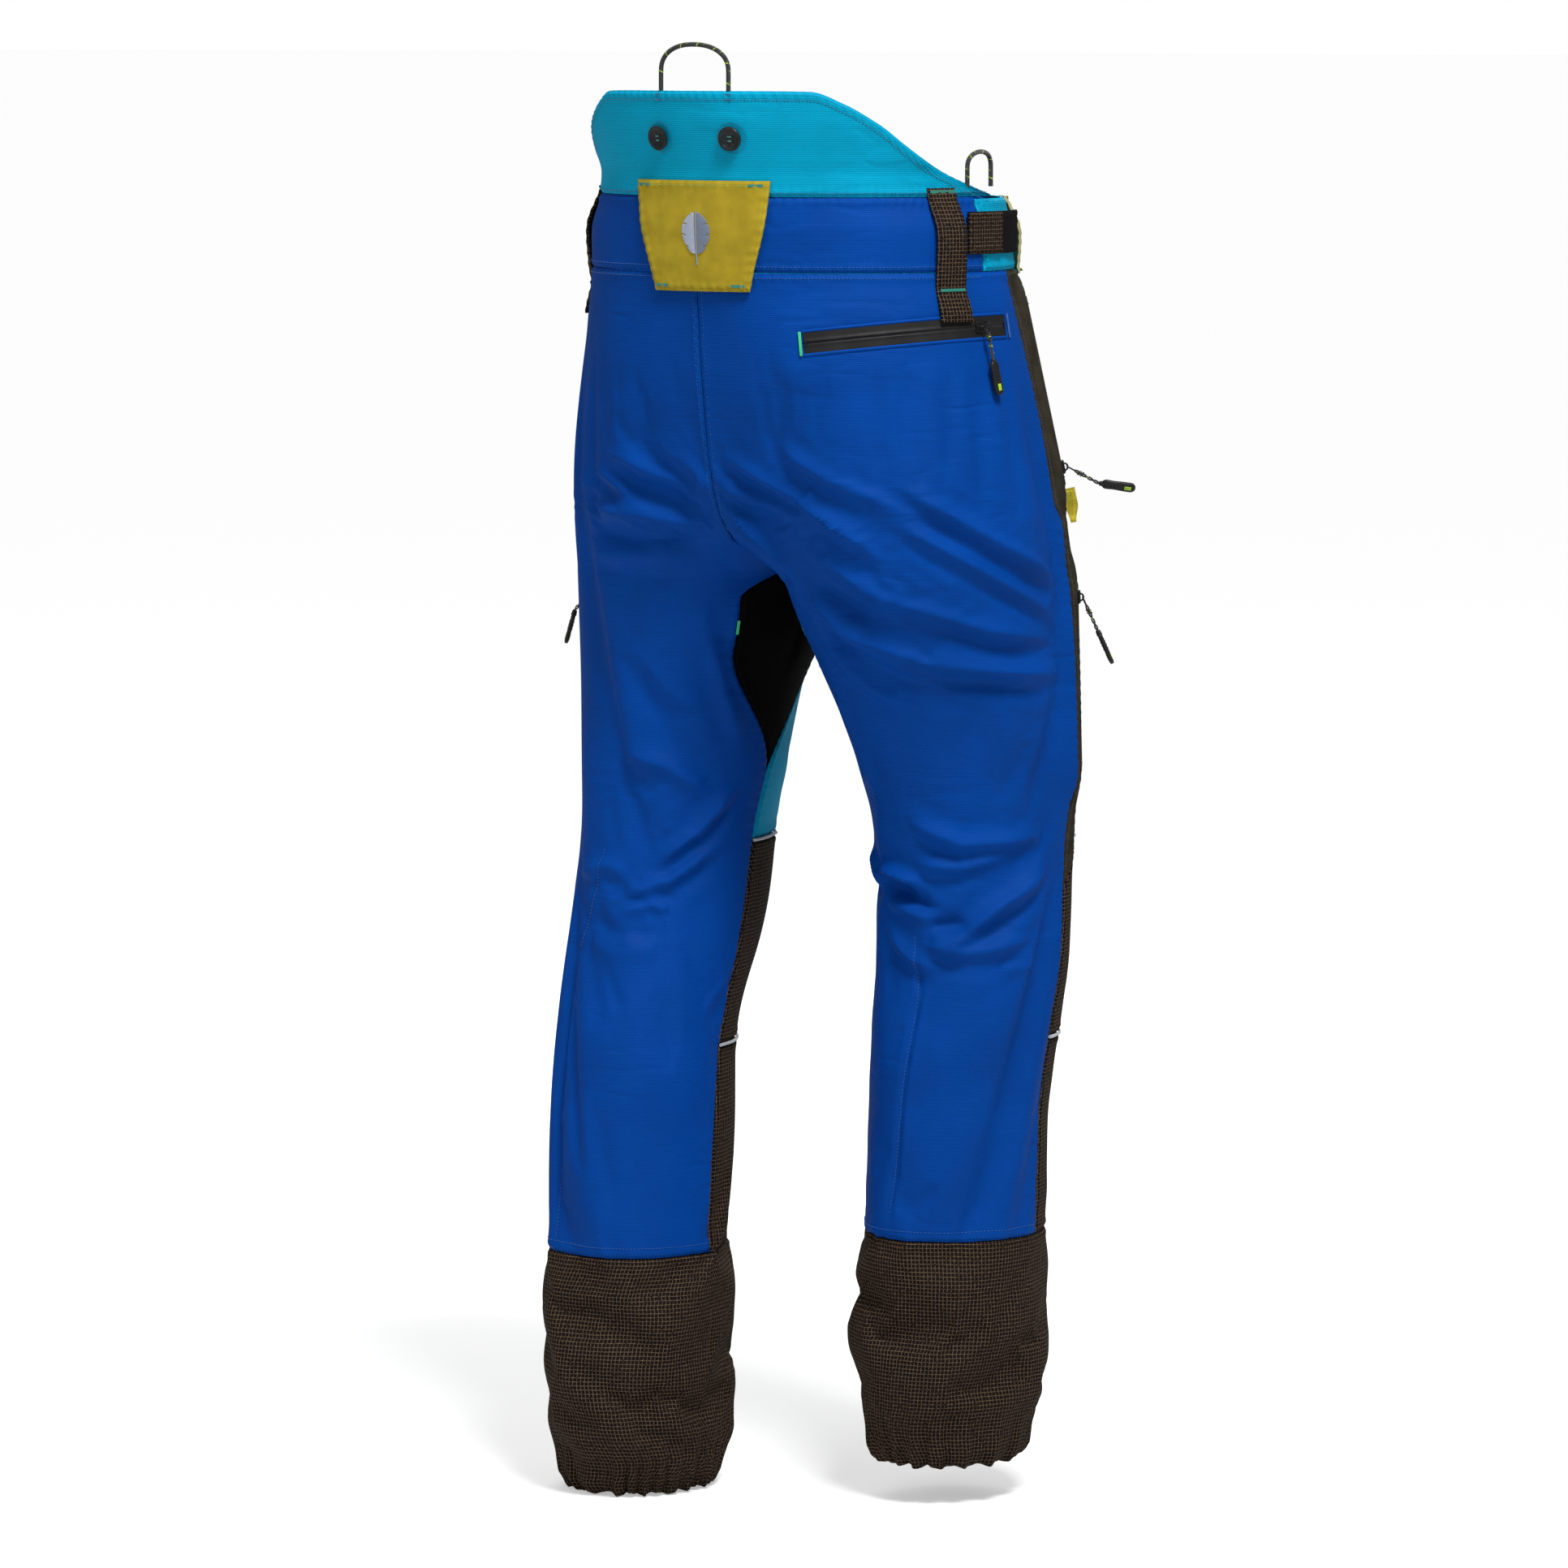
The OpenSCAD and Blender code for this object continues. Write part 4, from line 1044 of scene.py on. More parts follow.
def waist():
    flat = lambda value: (lambda a: np.full(a.shape, float(value)))
    band("waistband_back", spaced(-88, 88, 360, 0.2), flat(BAND + 0.3), flat(BAND_TOP - 0.3), BLUE_CLOTH,
         "blue_ripstop", "back_waistband")
    for s, node in ((1, "front_waistband"), (-1, ())):
        band(f"waistband_front_{SIDE_NAME[-s]}", s * spaced(88.3, 179.7, 200, 0.2), flat(BAND + 0.3),
             flat(BAND_TOP - 2), CYAN_CLOTH, "cyan_ripstop", node)
    angles = spaced(-99, 99, 420, 0.3)
    band("raised_back_flap", angles, flat(BAND_TOP + 0.3), top_edge, CYAN_CLOTH, "cyan_ripstop", "raised_back",
         cols=90, thick=2.0)
    # facing on the inside of the raised back, a little lower, with its own hem
    inside = spaced(-97, 97, 220, 0.3)
    band("raised_back_facing", inside, flat(BAND_TOP - 30), lambda a: top_edge(a) - 1.2, BLUE_CLOTH,
         "blue_ripstop", (), cols=40, thick=1.0, off=-2.6)
    hem = np.linspace(-96, 96, 900)
    p, n = around(hem, top_edge(hem) - 7)
    place(stitches("raised_back_hem_stitches", p + n * 0.2, n, "deep", pitch=3.0), "seat", "cyan_ripstop")
    for name, h, color, span, slot in (("waist_seam_low", BAND - 4, "blue", 86, "blue_ripstop"),
                                       ("waist_seam_high", BAND + 5, "blue", 87, "blue_ripstop"),
                                       ("waist_top_seam", BAND_TOP + 3.4, "deep", 95, "cyan_ripstop")):
        place(edge_stitches(name, np.linspace(-span, span, 700), h, color), "seat", slot)


class Strap:
    """A strip laid over the waist: rows of height, stand-off and half width in degrees."""

    def __init__(self, centre, rows, thick, drift=0.0):
        self.centre, self.thick, self.rows, self.drift = centre, thick, np.array(rows, float), drift

    def at(self, s, h):
        s, h = np.broadcast_arrays(np.asarray(s, float), np.asarray(h, float))
        gap, half = (monotone(h, self.rows[:, 0], self.rows[:, c]) for c in (1, 2))
        low = (self.rows[-1, 0] - h) / (self.rows[-1, 0] - self.rows[0, 0])
        p, n = around(self.centre + self.drift * low + s * half, h)
        return p + n * (gap + self.thick)[..., None], n

    def piece(self, name, material, slot, nodes, rows=44, cols=70):
        h = spaced(self.rows[0, 0], self.rows[-1, 0], cols)[None]
        s = spaced(-1, 1, rows)[:, None]
        p, n = self.at(s, h)
        return sewn_piece(name, p, n, self.thick, material, "seat", slot, nodes, depth=0.9)

    def tack(self, name, s, h, length, color, slot):
        p, n = self.at(s, h)
        q, _ = self.at(s + 0.05, h)
        return place(bar_tack(name, p, q - p, n, length, color), "seat", slot)


def leaf(patch):
    """Embroidered leaf on the patch: slanted satin stitches either side of a vein. One half of the leaf and the stem
    are sewn in a darker copy of the silver thread, as painted shade.
    """
    centre_h, tall, wide = 1038.0, 18.0, 12.5
    lay = lambda x, z: patch.at(x / 62.0, centre_h + z)
    objects = []
    for k in (-1, 1):
        for i, z in enumerate(np.linspace(-tall + 3, tall - 1.5, 34)):
            t = (z + tall) / (2 * tall)
            reach = wide * math.sin(math.pi * min(1, t ** 0.85)) ** 0.8
            if i % 9 == 4:
                reach *= 0.72
            steps = np.linspace(0, 1, 7)
            p, n = lay(k * (1.5 + reach * steps), z + 3.4 * steps * reach / wide)
            path = p + n * (0.15 + 0.5 * np.sin(math.pi * steps))[:, None]
            # the stitches on one side of the vein take the darker copy of the silver thread: painted shade
            objects.append(tube("satin", path, 0.44, THREADS["white" if k < 0 else "shade"], 5))
    stem = np.linspace(-tall - 6, tall, 40)
    p, n = lay(np.sin(stem / 11) * 0.4, stem)
    objects.append(tube("stem", p + n * 0.35, 0.6, THREADS["shade"], 6))
    place(join("patch_leaf_embroidery", objects), "seat", "mustard_canvas")


def loops():
    patch = Strap(0, [[993, 3, 14.4], [1008, 3.2, 15.6], [1038, 3.5, 18.4], [1068, 2.5, 21.2], [1081, 1.2, 22]],
                  2, 2.0)
    patch.piece("belt_patch", MUSTARD, "mustard_canvas", "back_belt_patch", 90, 90)
    for s, h, length in ((-0.83, 1077.2, 13), (0.83, 1077.2, 13), (-0.78, 997.4, 12), (0.78, 997.4, 12)):
        patch.tack(f"patch_tack_{'a' if s < 0 else 'b'}_{int(h)}", s, h, length, "teal", "mustard_canvas")
    for name, h in (("top", 1077.2), ("bottom", 997.4)):
        s = np.linspace(-0.93, 0.93, 200)
        p, n = patch.at(s, h)
        place(stitches(f"patch_{name}_stitches", p + n * 0.1, n, "gold" if name == "bottom" else "green", radius=0.2),
              "seat", "mustard_canvas")
    leaf(patch)
    half = 5.19
    for s in (LEFT, RIGHT):
        strap = Strap(-s * 73, [[968, 4.0, half], [981, 2.6, half], [992, 1.2, half], [1008, 4.2, half],
                                [1036, 5.4, half], [1060, 4.0, half], [1075, 0.9, half]], 1.6)
        strap.piece(f"{SIDE_NAME[s]}_side_loop", CHECK, "check_ripstop", "side_belt_loops" if s == LEFT else ())
        strap.tack(f"{SIDE_NAME[s]}_loop_tack", 0, 993.5, 24, "teal", "check_ripstop")
        strap.tack(f"{SIDE_NAME[s]}_loop_top_tack", 0, 1072, 25, "teal", "check_ripstop")
        front = Strap(-s * 128, [[1002, 2, 5], [1016, 5, 5], [1036, 7, 5], [1052, 4.6, 5], [1066, 0.8, 5]], 1.4)
        front.piece(f"{SIDE_NAME[s]}_front_loop", CREAM, "cream_webbing", "front_belt_loops" if s == LEFT else (),
                    30, 50)
        for h in (1003.8, 1064.5):
            front.tack(f"{SIDE_NAME[s]}_front_loop_tack_{int(h)}", 0, h, 24, "gold", "cream_webbing")


# ---- Hardware: zips, sliders, pullers, buttons, cords ---------------------------------------------

ZIP_WIDTH = 19
RING = 3.6          # radius of a puller's ring
EYE_OUT = 5.6       # from a zip's plane to the axis that its puller's ring hangs on
LINK = 22           # length of a puller's cord link

def put(obj, matrix):
    """Places a mesh that was built round its own origin. matrix is in millimetres."""
    m = matrix.copy()
    m.translation = m.translation * MM
    obj.data.transform(m)
    return obj


def block(name, size, centre, bevel, material, segments=3):
    """Box with rounded edges."""
    bpy.ops.mesh.primitive_cube_add(size=1)
    obj = bpy.context.object
    obj.name = obj.data.name = name
    obj.data.transform(Matrix.Diagonal((size[0] * MM, size[1] * MM, size[2] * MM, 1)))
    mod = obj.modifiers.new("round", "BEVEL")
    mod.width, mod.segments = bevel * MM, segments
    bpy.ops.object.modifier_apply(modifier=mod.name)
    obj.data.transform(Matrix.Translation([c * MM for c in centre]))
    obj.data.materials.append(material)
    obj.data.uv_layers.active.name = "cloth"
    obj.data.shade_smooth()
    obj.data.set_sharp_from_angle(angle=math.radians(50))
    return obj


def lathe(name, profile, material, sides=48):
    """Turns a profile of (radius, height along -Y) about the Y axis."""
    turn = np.linspace(0, 2 * math.pi, sides, endpoint=False)
    profile = np.array(profile, float)
    points = np.stack(np.broadcast_arrays(profile[:, 0, None] * np.cos(turn), -profile[:, 1, None] + 0 * turn,
                                          profile[:, 0, None] * np.sin(turn)), -1).reshape(-1, 3)
    return make(name, points, ring_faces(len(profile), sides), material, sharp=35)


def pill(name, size, centre, material):
    """Moulded grip: a long rounded plate. size is (width X, thickness Y, height Z)."""
    half = np.array(size) / 2
    rings, sides = [], 28
    turn = np.linspace(0, 2 * math.pi, sides, endpoint=False)
    for t in np.linspace(-1, 1, 26):
        t = math.sin(t * math.pi / 2)
        rounded = max(0.0, (abs(t) * half[2] - (half[2] - half[0])) / half[0])
        wide = max(0.05, math.sqrt(max(0.0, 1 - rounded**2)))
        waist_in = 1 - 0.1 * bell((t * half[2] - half[2] * 0.25) / 5)
        deep = 0.55 + 0.45 * wide
        c, s = np.cos(turn), np.sin(turn)
        rings.append(np.stack([half[0] * wide * waist_in * np.sign(c) * np.abs(c) ** 0.75,
                               half[1] * deep * np.sign(s) * np.abs(s) ** 0.6, 0 * turn + t * half[2]], -1))
    points = np.concatenate(rings) + np.array(centre)
    return make(name, points, ring_faces(len(rings), sides), material, sharp=60)


def torus(name, radius, wire, matrix, material):
    """Wire ring round Z."""
    turn = np.linspace(0, 2 * math.pi, 36, endpoint=False)
    path = np.stack([radius * np.cos(turn), radius * np.sin(turn), 0 * turn], -1)
    return put(tube(name, path, wire, material, 10, closed=True), matrix)


def slider(name, matrix, ride, node):
    """Zip slider: cheek plate with a raised spine and an eye, wedge nose towards +X."""
    parts = [block("plate", (11, 1.5, 8.6), (0, -2.5, 0), 0.6, METAL),
             block("nose", (5, 1.1, 5.0), (3.4, -3.4, 0), 0.5, METAL),
             block("spine", (9.4, 0.9, 2.6), (-0.3, -3.6, 0), 0.4, METAL)]
    turn = np.linspace(-0.2, math.pi + 0.2, 20)
    bridge = np.stack([2.9 * np.cos(turn), -3.6 - 2.75 * np.sin(turn), 0 * turn], -1)
    parts.append(tube("eye", bridge, 0.8, METAL, 10))
    place(put(join(name, parts), matrix), ride, "slider_metal", node)


def puller(name, matrix, ring_turn, ride, node, bend=0.0, twist=0.0):
    """Split ring, knotted cord link and moulded grip with a bright tip, hanging along -Z; the grip may hang at
    another angle than the link."""
    parts = [torus("ring", RING, 0.55, ring_turn, METAL)]
    down = move(0, 0, -RING)
    for k in (-1, 1):
        z = np.linspace(0.8, -23.2, 40)
        ply = np.stack([k * 0.85 * np.cos(z * 0.55), 0.85 * k * np.sin(z * 0.55), z], -1)
        parts.append(put(tube("ply", ply, 0.72, CORD, 8), down))
    knot = np.linspace(0, 4 * math.pi, 60)
    curl = np.stack([1.5 * np.cos(knot), 1.5 * np.sin(knot), -3.5 - 1.1 * knot / math.pi], -1)
    parts.append(put(tube("knot", curl, 0.8, CORD, 8), down))
    down = down @ move(0, 0, -LINK) @ rot(bend, 0, 0) @ rot(0, 0, twist) @ move(0, 0, LINK)
    parts.append(put(tube("collar", [(0, 0, -22.5), (0, 0, -23.2), (0, 0, -25.4), (0, 0, -27)], [1.5, 2.0, 2.2, 2.4],
                          RUBBER, 20), down))
    parts.append(put(pill("grip", (9, 3.8, 28), (0, 0, -38.5), RUBBER), down))
    for k in (-1, 1):
        parts.append(put(block("inlay", (3.4, 0.7, 5.6), (0, k * 1.72, -46.2), 0.3, TIP), down))
        for z in (-33, -36, -39):
            parts.append(put(block("rib", (5.6, 0.8, 1.2), (0, k * 1.75, z), 0.35, RUBBER), down))
    place(put(join(name, parts), matrix), ride, "puller_rubber", node)


def zip_tapes(name, zipper, ride, nodes, cloth=None):
    """A closed water-shedding zip, with the folded edge of its pocket all round it when cloth is given."""
    lay, length, width, slot = zipper.lay, zipper.length, ZIP_WIDTH, "zip_tape"
    parts = []
    x = np.linspace(0, length, max(30, int(length / 2.5)))[:, None]
    for k in (-1, 1):
        across = np.concatenate([np.linspace(0.18, 1.6, 9), np.linspace(1.9, width / 2, 10)])[None]
        out = 1.15 + 0.55 * bell((across - 1.6) / 1.0) - 0.75 * bell((across - 0.15) / 0.4)
        out = out - 0.35 * smooth((across - width / 2 + 1.2) / 1.2)
        z = k * across
        p = lay(*np.broadcast_arrays(x, z, out))
        base = lay(*np.broadcast_arrays(x, z, out - 1))
        uv = np.stack(np.broadcast_arrays(x, z), -1)
        parts.append(shell("tape", p, p - base, 0.9, TAPE, uv))
    for c in np.arange(1.5, length - 1, 1.7):
        ends = lay(np.array([c, c + 0.5, c + 1.0]), np.array([-1.5, 0.0, 1.5]), np.array([0.5, 0.85, 0.5]))
        parts.append(tube("coil", ends, 0.42, COIL, 6))
    for c in (2.0, length - 2.0):
        ends = lay(np.array([c, c]), np.array([-2.4, 2.4]), np.array([1.8, 1.8]))
        parts.append(tube("stop", ends, 0.7, METAL, 8))
    place(join(name, parts), ride, slot, nodes)
    if cloth is None:
        return
    # the pocket's edge: a folded strip that rises from the cloth to the zip all the way round
    run = np.concatenate([np.linspace(0, length, 60), np.full(12, length), np.linspace(length, 0, 60), np.zeros(12)])
    turn = np.concatenate([np.full(60, -math.pi / 2), np.linspace(-math.pi / 2, math.pi / 2, 12),
                           np.full(60, math.pi / 2), np.linspace(math.pi / 2, 1.5 * math.pi, 12)])
    s = np.linspace(0, 1, 16)[None]
    wide = 3.6
    reach = width / 2 - 1.2 + wide * s
    across, along = np.sin(turn)[:, None], np.cos(turn)[:, None]
    px = run[:, None] + along * (1.0 + wide * s + (reach - wide) * 0.25 * (1 - np.abs(across)))
    pz = across * reach
    out = 0.7 + 1.25 * np.sin(math.pi * np.clip(s * 1.15 + 0.12, 0, 1)) ** 0.7 - 0.9 * smooth((s - 0.6) / 0.4)
    p = lay(*np.broadcast_arrays(px, pz, out))
    away = lay(*np.broadcast_arrays(px, pz, out + 1)) - p
    u = np.broadcast_to(lengths(p, 0)[:, :1], px.shape)
    attributes = {"edge": np.full(px.shape, 30.0), "along": u}
    place(shell(name + "_welt", p, away, 0.9, cloth, np.stack([u, pz], -1), attributes, closed=True), ride, slot)


def side_zips():
    for side in (LEFT, RIGHT):
        s = SIDE_NAME[side]
        left = side == LEFT
        for kind, matrix, park, swing, bend, twist, ride, node in (
                ("hip", hip_frame(side), 10, 34 if left else 50, -20, 0 if left else 55, "seat",
                 "hip_pocket_zips" if left else ()),
                ("thigh", thigh_frame(side), 137, 45 if left else 23, 25 if left else 0, 35 if left else 0,
                 s + "_thigh", s + "_thigh_zip")):
            zip_tapes(f"{s}_{kind}_zip_closed", ZIPS[side][kind], ride, node, OLIVE)
            where = matrix @ move(park, 0, 0)
            slider(f"{s}_{kind}_slider", where, f"{s}_{kind}_slider", f"{s}_{kind}_zip_slider")
            hang = where @ move(0, -EYE_OUT, 0) @ rot(0, 90, 0) @ rot(-swing, 0, 0) @ move(0, 0, -RING)
            puller(f"{s}_{kind}_puller", hang, rot(90, 0, 0), f"{s}_{kind}_puller", f"{s}_{kind}_zip_puller",
                   bend, twist)
        # small folded tab that stands out beside the hip pocket
        lay = ZIPS[side]["hip"].lay
        x, out = np.meshgrid(spaced(-37, -9, 30), spaced(-2, 8.5, 14), indexing="ij")
        taper = 1 - 0.55 * smooth((-22 - x) / 15)
        lift = 1.0 + (out - 1.0) * taper
        lean = 1.6 * np.sin(x / 9)
        p = lay(x, -14.5 + lean + 0 * x, lift)
        n = lay(x, -13.5 + lean + 0 * x, lift) - p
        sewn_piece(s + "_pocket_tab", p, n, 1.8, YELLOW_TAB, "seat", "mustard_canvas", (), "lrt", 0.6)


def rear_zip():
    zipper = ZIPS[RIGHT]["rear"]
    lay = zipper.lay
    zip_tapes("rear_pocket_zip_closed", zipper, "seat", "rear_pocket_zip", BLUE_CLOTH)
    for name, x, color in (("inner", -2.5, "green"), ("outer", zipper.length + 3, "blue")):
        c = lay(x, 0.0, 2.2)
        place(bar_tack(f"rear_zip_{name}_tack", c, lay(x, 1.0, 2.2) - c, (lay(x, 0.0, 3.2) - c), 19, color), "seat",
              "zip_tape")
    stand = zipper.matrix @ rot(0, 0, 169) @ move(zipper.radius, 0, 0) @ rot(0, 0, 90)
    slider("rear_slider", stand, "rear_slider", "rear_zip_slider")
    hang = stand @ move(0, -EYE_OUT - RING, 0) @ rot(0, -7, 0)
    puller("rear_puller", hang, rot(0, 90, 0), "rear_puller", "rear_zip_puller")
    h = np.linspace(822, 945, 40)[None]
    t = np.linspace(0.11, 0.62, 50)[:, None]
    p, n = SHEET[RIGHT].at(t, h)
    sewn_piece("rear_pocket_pouch", p - n * 3.6, n, 1.4, LINING, "seat", "lining", "rear_pocket_bag", "lrb", 1.0)


def button():
    """Four-hole button and the thread that holds it, facing -Y."""
    profile = [(0.3, -1.1), (1.6, -1.1), (1.6, 0), (8.6, 0), (9.7, 0.5), (10, 1.3), (9.9, 2.4), (9.3, 3.0),
               (8.5, 3.05), (7.7, 2.7), (7.1, 2.05), (6.4, 1.9), (0.3, 1.85)]
    parts = [lathe("button", profile, BUTTON)]
    hole = 1.7      # from the middle to a hole, both ways
    for x, z in [(x, z) for x in (-hole, hole) for z in (-hole, hole)]:
        cutter = put(lathe("hole", [(0.85, -3), (0.85, 6)], BUTTON, 16), move(x, 0, z))
        mod = parts[0].modifiers.new("hole", "BOOLEAN")
        mod.operation, mod.object, mod.solver = "DIFFERENCE", cutter, "EXACT"
        with bpy.context.temp_override(object=parts[0], active_object=parts[0]):
            bpy.ops.object.modifier_apply(modifier="hole")
        bpy.data.objects.remove(cutter)
    for z in (-hole, hole):
        for k in (-0.3, 0.3):
            path = [(-hole, 0.3, z + k), (-1.6, -1.95, z + k), (-0.8, -2.4, z + k), (0.8, -2.4, z + k),
                    (1.6, -1.95, z + k), (hole, 0.3, z + k)]
            parts.append(tube("sewing", path, 0.32, THREADS["teal"], 6))
    return parts


def buttons():
    for place_name, angles, height, out, ring_color in (
            ("back", (-11, 11), 1115, 1.9, "deep"), ("front", (-160, 160), 1038, 2.2, "blue")):
        for i, a in enumerate(angles):
            p, n = around(a, height)
            normal = Vector(n)
            facing = normal.to_track_quat("-Y", "Z").to_matrix().to_4x4()
            matrix = Matrix.Translation(Vector(p) + normal * out) @ facing
            place(put(join(f"{place_name}_button_{i}", button()), matrix), "seat", "button_black",
                  f"{place_name}_brace_buttons" if i == 0 else ())
            # round seat of stitching under the button
            ring = np.linspace(0, 2 * math.pi, 60)
            x, z = 12.2 * np.cos(ring), 12.2 * np.sin(ring)
            q, n = around(a + np.degrees(x / 165), height + z)
            place(stitches(f"{place_name}_button_{i}_seat", q + n * 0.1, n, ring_color, 1.8, 2.4, 0.22),
                  "seat", "cyan_ripstop")


def arch(span, height, lean=0.0, foot=0.0):
    """Path of a cord loop that stands on the XY plane along X."""
    t = np.linspace(0, math.pi, 60)
    top = np.stack([-span / 2 * np.sign(np.cos(t)) * np.abs(np.cos(t)) ** 0.9,
                    lean * np.sin(t) ** 2, (height * 0.42) + height * 0.58 * np.sin(t) ** 0.9], -1)
    foot_run = np.linspace(foot, height * 0.42, 10)[:-1]
    left = np.stack([0 * foot_run - span / 2, 0 * foot_run, foot_run], -1)
    right = np.stack([0 * foot_run + span / 2, 0 * foot_run, foot_run], -1)[::-1]
    path = np.concatenate([left, top, right])
    for _ in range(3):
        path[1:-1] = (path[:-2] + 2 * path[1:-1] + path[2:]) / 4
    return path


def cords():
    place(put(tube("hang_loop_cord", arch(66, 36, 2.0, -0.8), 1.9, CORD, 16), move(0, 152, 1153)),
          "hang_loop", "cord", "back_hang_loop")
    for side in (LEFT, RIGHT):
        s = SIDE_NAME[side]
        place(put(tube(s + "_side_cord", arch(34, 21, 1.5, -7), 1.9, CORD, 16),
                  move(side * 170.5, -1, 1082.4) @ rot(0, 0, 90)), s + "_cord", "cord", s + "_cord_loop")
    for x in (-33, 33):
        a = -math.degrees(math.asin(x / 183.0))
        for k, drop in ((0, 2.6), (1, 7.0)):
            p, n = around(a, BACK_TOP - drop)
            place(bar_tack(f"hang_loop_tack_{'r' if x < 0 else 'l'}{k}", p, np.array((1.0, 0, 0)), n, 7, "deep", 1.2),
                  "seat", "cyan_ripstop")


def closure_flap():
    """The waist tab: a flat sewn piece with round corners whose outer face is on a plane facing -Y."""
    width, height, corner = 76, 50, 5.0
    x, z = np.meshgrid(spaced(-width / 2, width / 2, 60), spaced(-height / 2, height / 2, 50), indexing="ij")
    pinch = corner * 0.3 * bell((width / 2 - np.abs(x)) / corner) * bell((height / 2 - np.abs(z)) / corner)
    x, z = x - np.sign(x) * pinch, z - np.sign(z) * pinch
    p = np.stack([x, -0.25 * waves(x / 14, z / 14, 1), z], -1)
    n = np.zeros_like(p)
    n[..., 1] = -1
    p, uv, attributes = sewn(p, n, "lrbt", 0.8)
    flap = put(shell("closure_flap", p, n, 1.9, CYAN_CLOTH, uv, attributes), move(4, -149.2, 1039))
    place(flap, "closure", "cyan_ripstop", "closure_tab")


def front_closure():
    """Zip fly, its cover, and the waist tab with its snap."""
    fly = FlatZip(move(0, -155.4, 895) @ rot(0, -90, 0), 105)
    zip_tapes("fly_zip_closed", fly, "seat", "fly_zip")
    parts = [block("plate", (8.6, 1.5, 10.6), (0, -157.9, 990), 0.6, METAL),
             block("spine", (2.4, 0.7, 9), (0, -158.9, 990), 0.3, METAL),
             pill("tongue", (5.6, 1.1, 22), (0, -159.9, 979), METAL)]
    place(join("fly_slider_and_tongue", parts), "fly_slider", "slider_metal", "fly_zip_slider")
    # the cover wraps from the wearer's left edge of the fly across the zip
    z = spaced(885, 1005, 60)[None]
    s = np.linspace(0, 1, 50)[:, None]
    x = 20 - 48 * s
    wall = smooth((x - 12) / 8)
    cloth = np.interp(z, (885, 940, 980, 1005), (-156.3, -155.6, -151.6, -148.2))
    y = -163.0 + wall * (cloth + 163) - 0.4 * np.sin(math.pi * s * 2) * np.sin((z - 885) / 19)
    y = y + (1 - wall) * np.maximum(4.4 * smooth((-11 - x) / 10), 6.5 * smooth((z - 996.5) / 8))
    p = np.stack(np.broadcast_arrays(x, y, z), -1)
    across, along = np.gradient(p, axis=0), np.gradient(p, axis=1)
    n = np.cross(across, along)
    n *= -np.sign(n[..., 1:2]) / np.linalg.norm(n, axis=-1, keepdims=True)
    sewn_piece("fly_flap", p, n, 1.5, CYAN_CLOTH, "seat", "cyan_ripstop", "fly_cover", depth=0.8)
    closure_flap()
    for name, node, y, ride, profile in (
            ("snap_press_cap", "snap_cap", -149.1, "closure",
             [(0.3, 0), (6.8, 0), (7.4, 0.4), (7.3, 1.1), (6.4, 1.6), (5.2, 1.5), (4.9, 1.25), (0.3, 1.2)]),
            ("snap_post", "snap_stud", -146.0, "seat",
             [(0.3, -1.5), (6, -1.5), (6.2, -0.6), (2.1, -0.4), (1.9, 0.9), (0.3, 1.0)])):
        place(put(lathe(name, profile, METAL), move(-18, y, 1038)), ride, "snap_metal", node)


def adjusters():
    """Hook pad and pull tab at each side of the waist."""
    def lay(side, r, angle, z):
        a = np.radians(angle)
        return np.stack(np.broadcast_arrays(side * (55.5 + r * np.cos(a)), r * np.sin(a), z), -1)
    for side in (LEFT, RIGHT):
        s = SIDE_NAME[side]
        for name, r, low_a, high_a, low, high, material, ride, slot, node in (
                ("hook_pad", 128.1, -28, 13, 1022, 1056, HOOKS, "seat", "hook_and_loop",
                 "adjuster_pads" if side == LEFT else ()),
                ("pull_tab", 130.0, -7, 13, 1022.5, 1055.5, CHECK, s + "_adjuster", "check_ripstop",
                 s + "_adjuster_tab")):
            a, z = np.meshgrid(spaced(low_a, high_a, 60), spaced(low, high, 40), indexing="ij")
            p = lay(side, r, a, z)
            n = lay(side, r + 1, a, z) - p
            if name == "hook_pad":
                p = p + n * (0.35 * np.abs(np.sin(a * 2.4) * np.sin(z * 1.25)))[..., None]
            thick = 1.1 if name == "hook_pad" else 1.5
            sewn_piece(f"{s}_{name}", p, n, thick, material, ride, slot, node, depth=0.7)


# ---- Seam stitching and tacks on the cloth ---------------------------------------------------------

def seam_run(name, side, turn, low, high, color, where, slot, count=600, **more):
    """Top stitching that follows a seam; turn is a function of height."""
    h = np.linspace(low, high, count)
    p, n = SHEET[side].at(turn(h), h)
    place(stitches(name, p + n * 0.15, n, color, **more), where, slot)


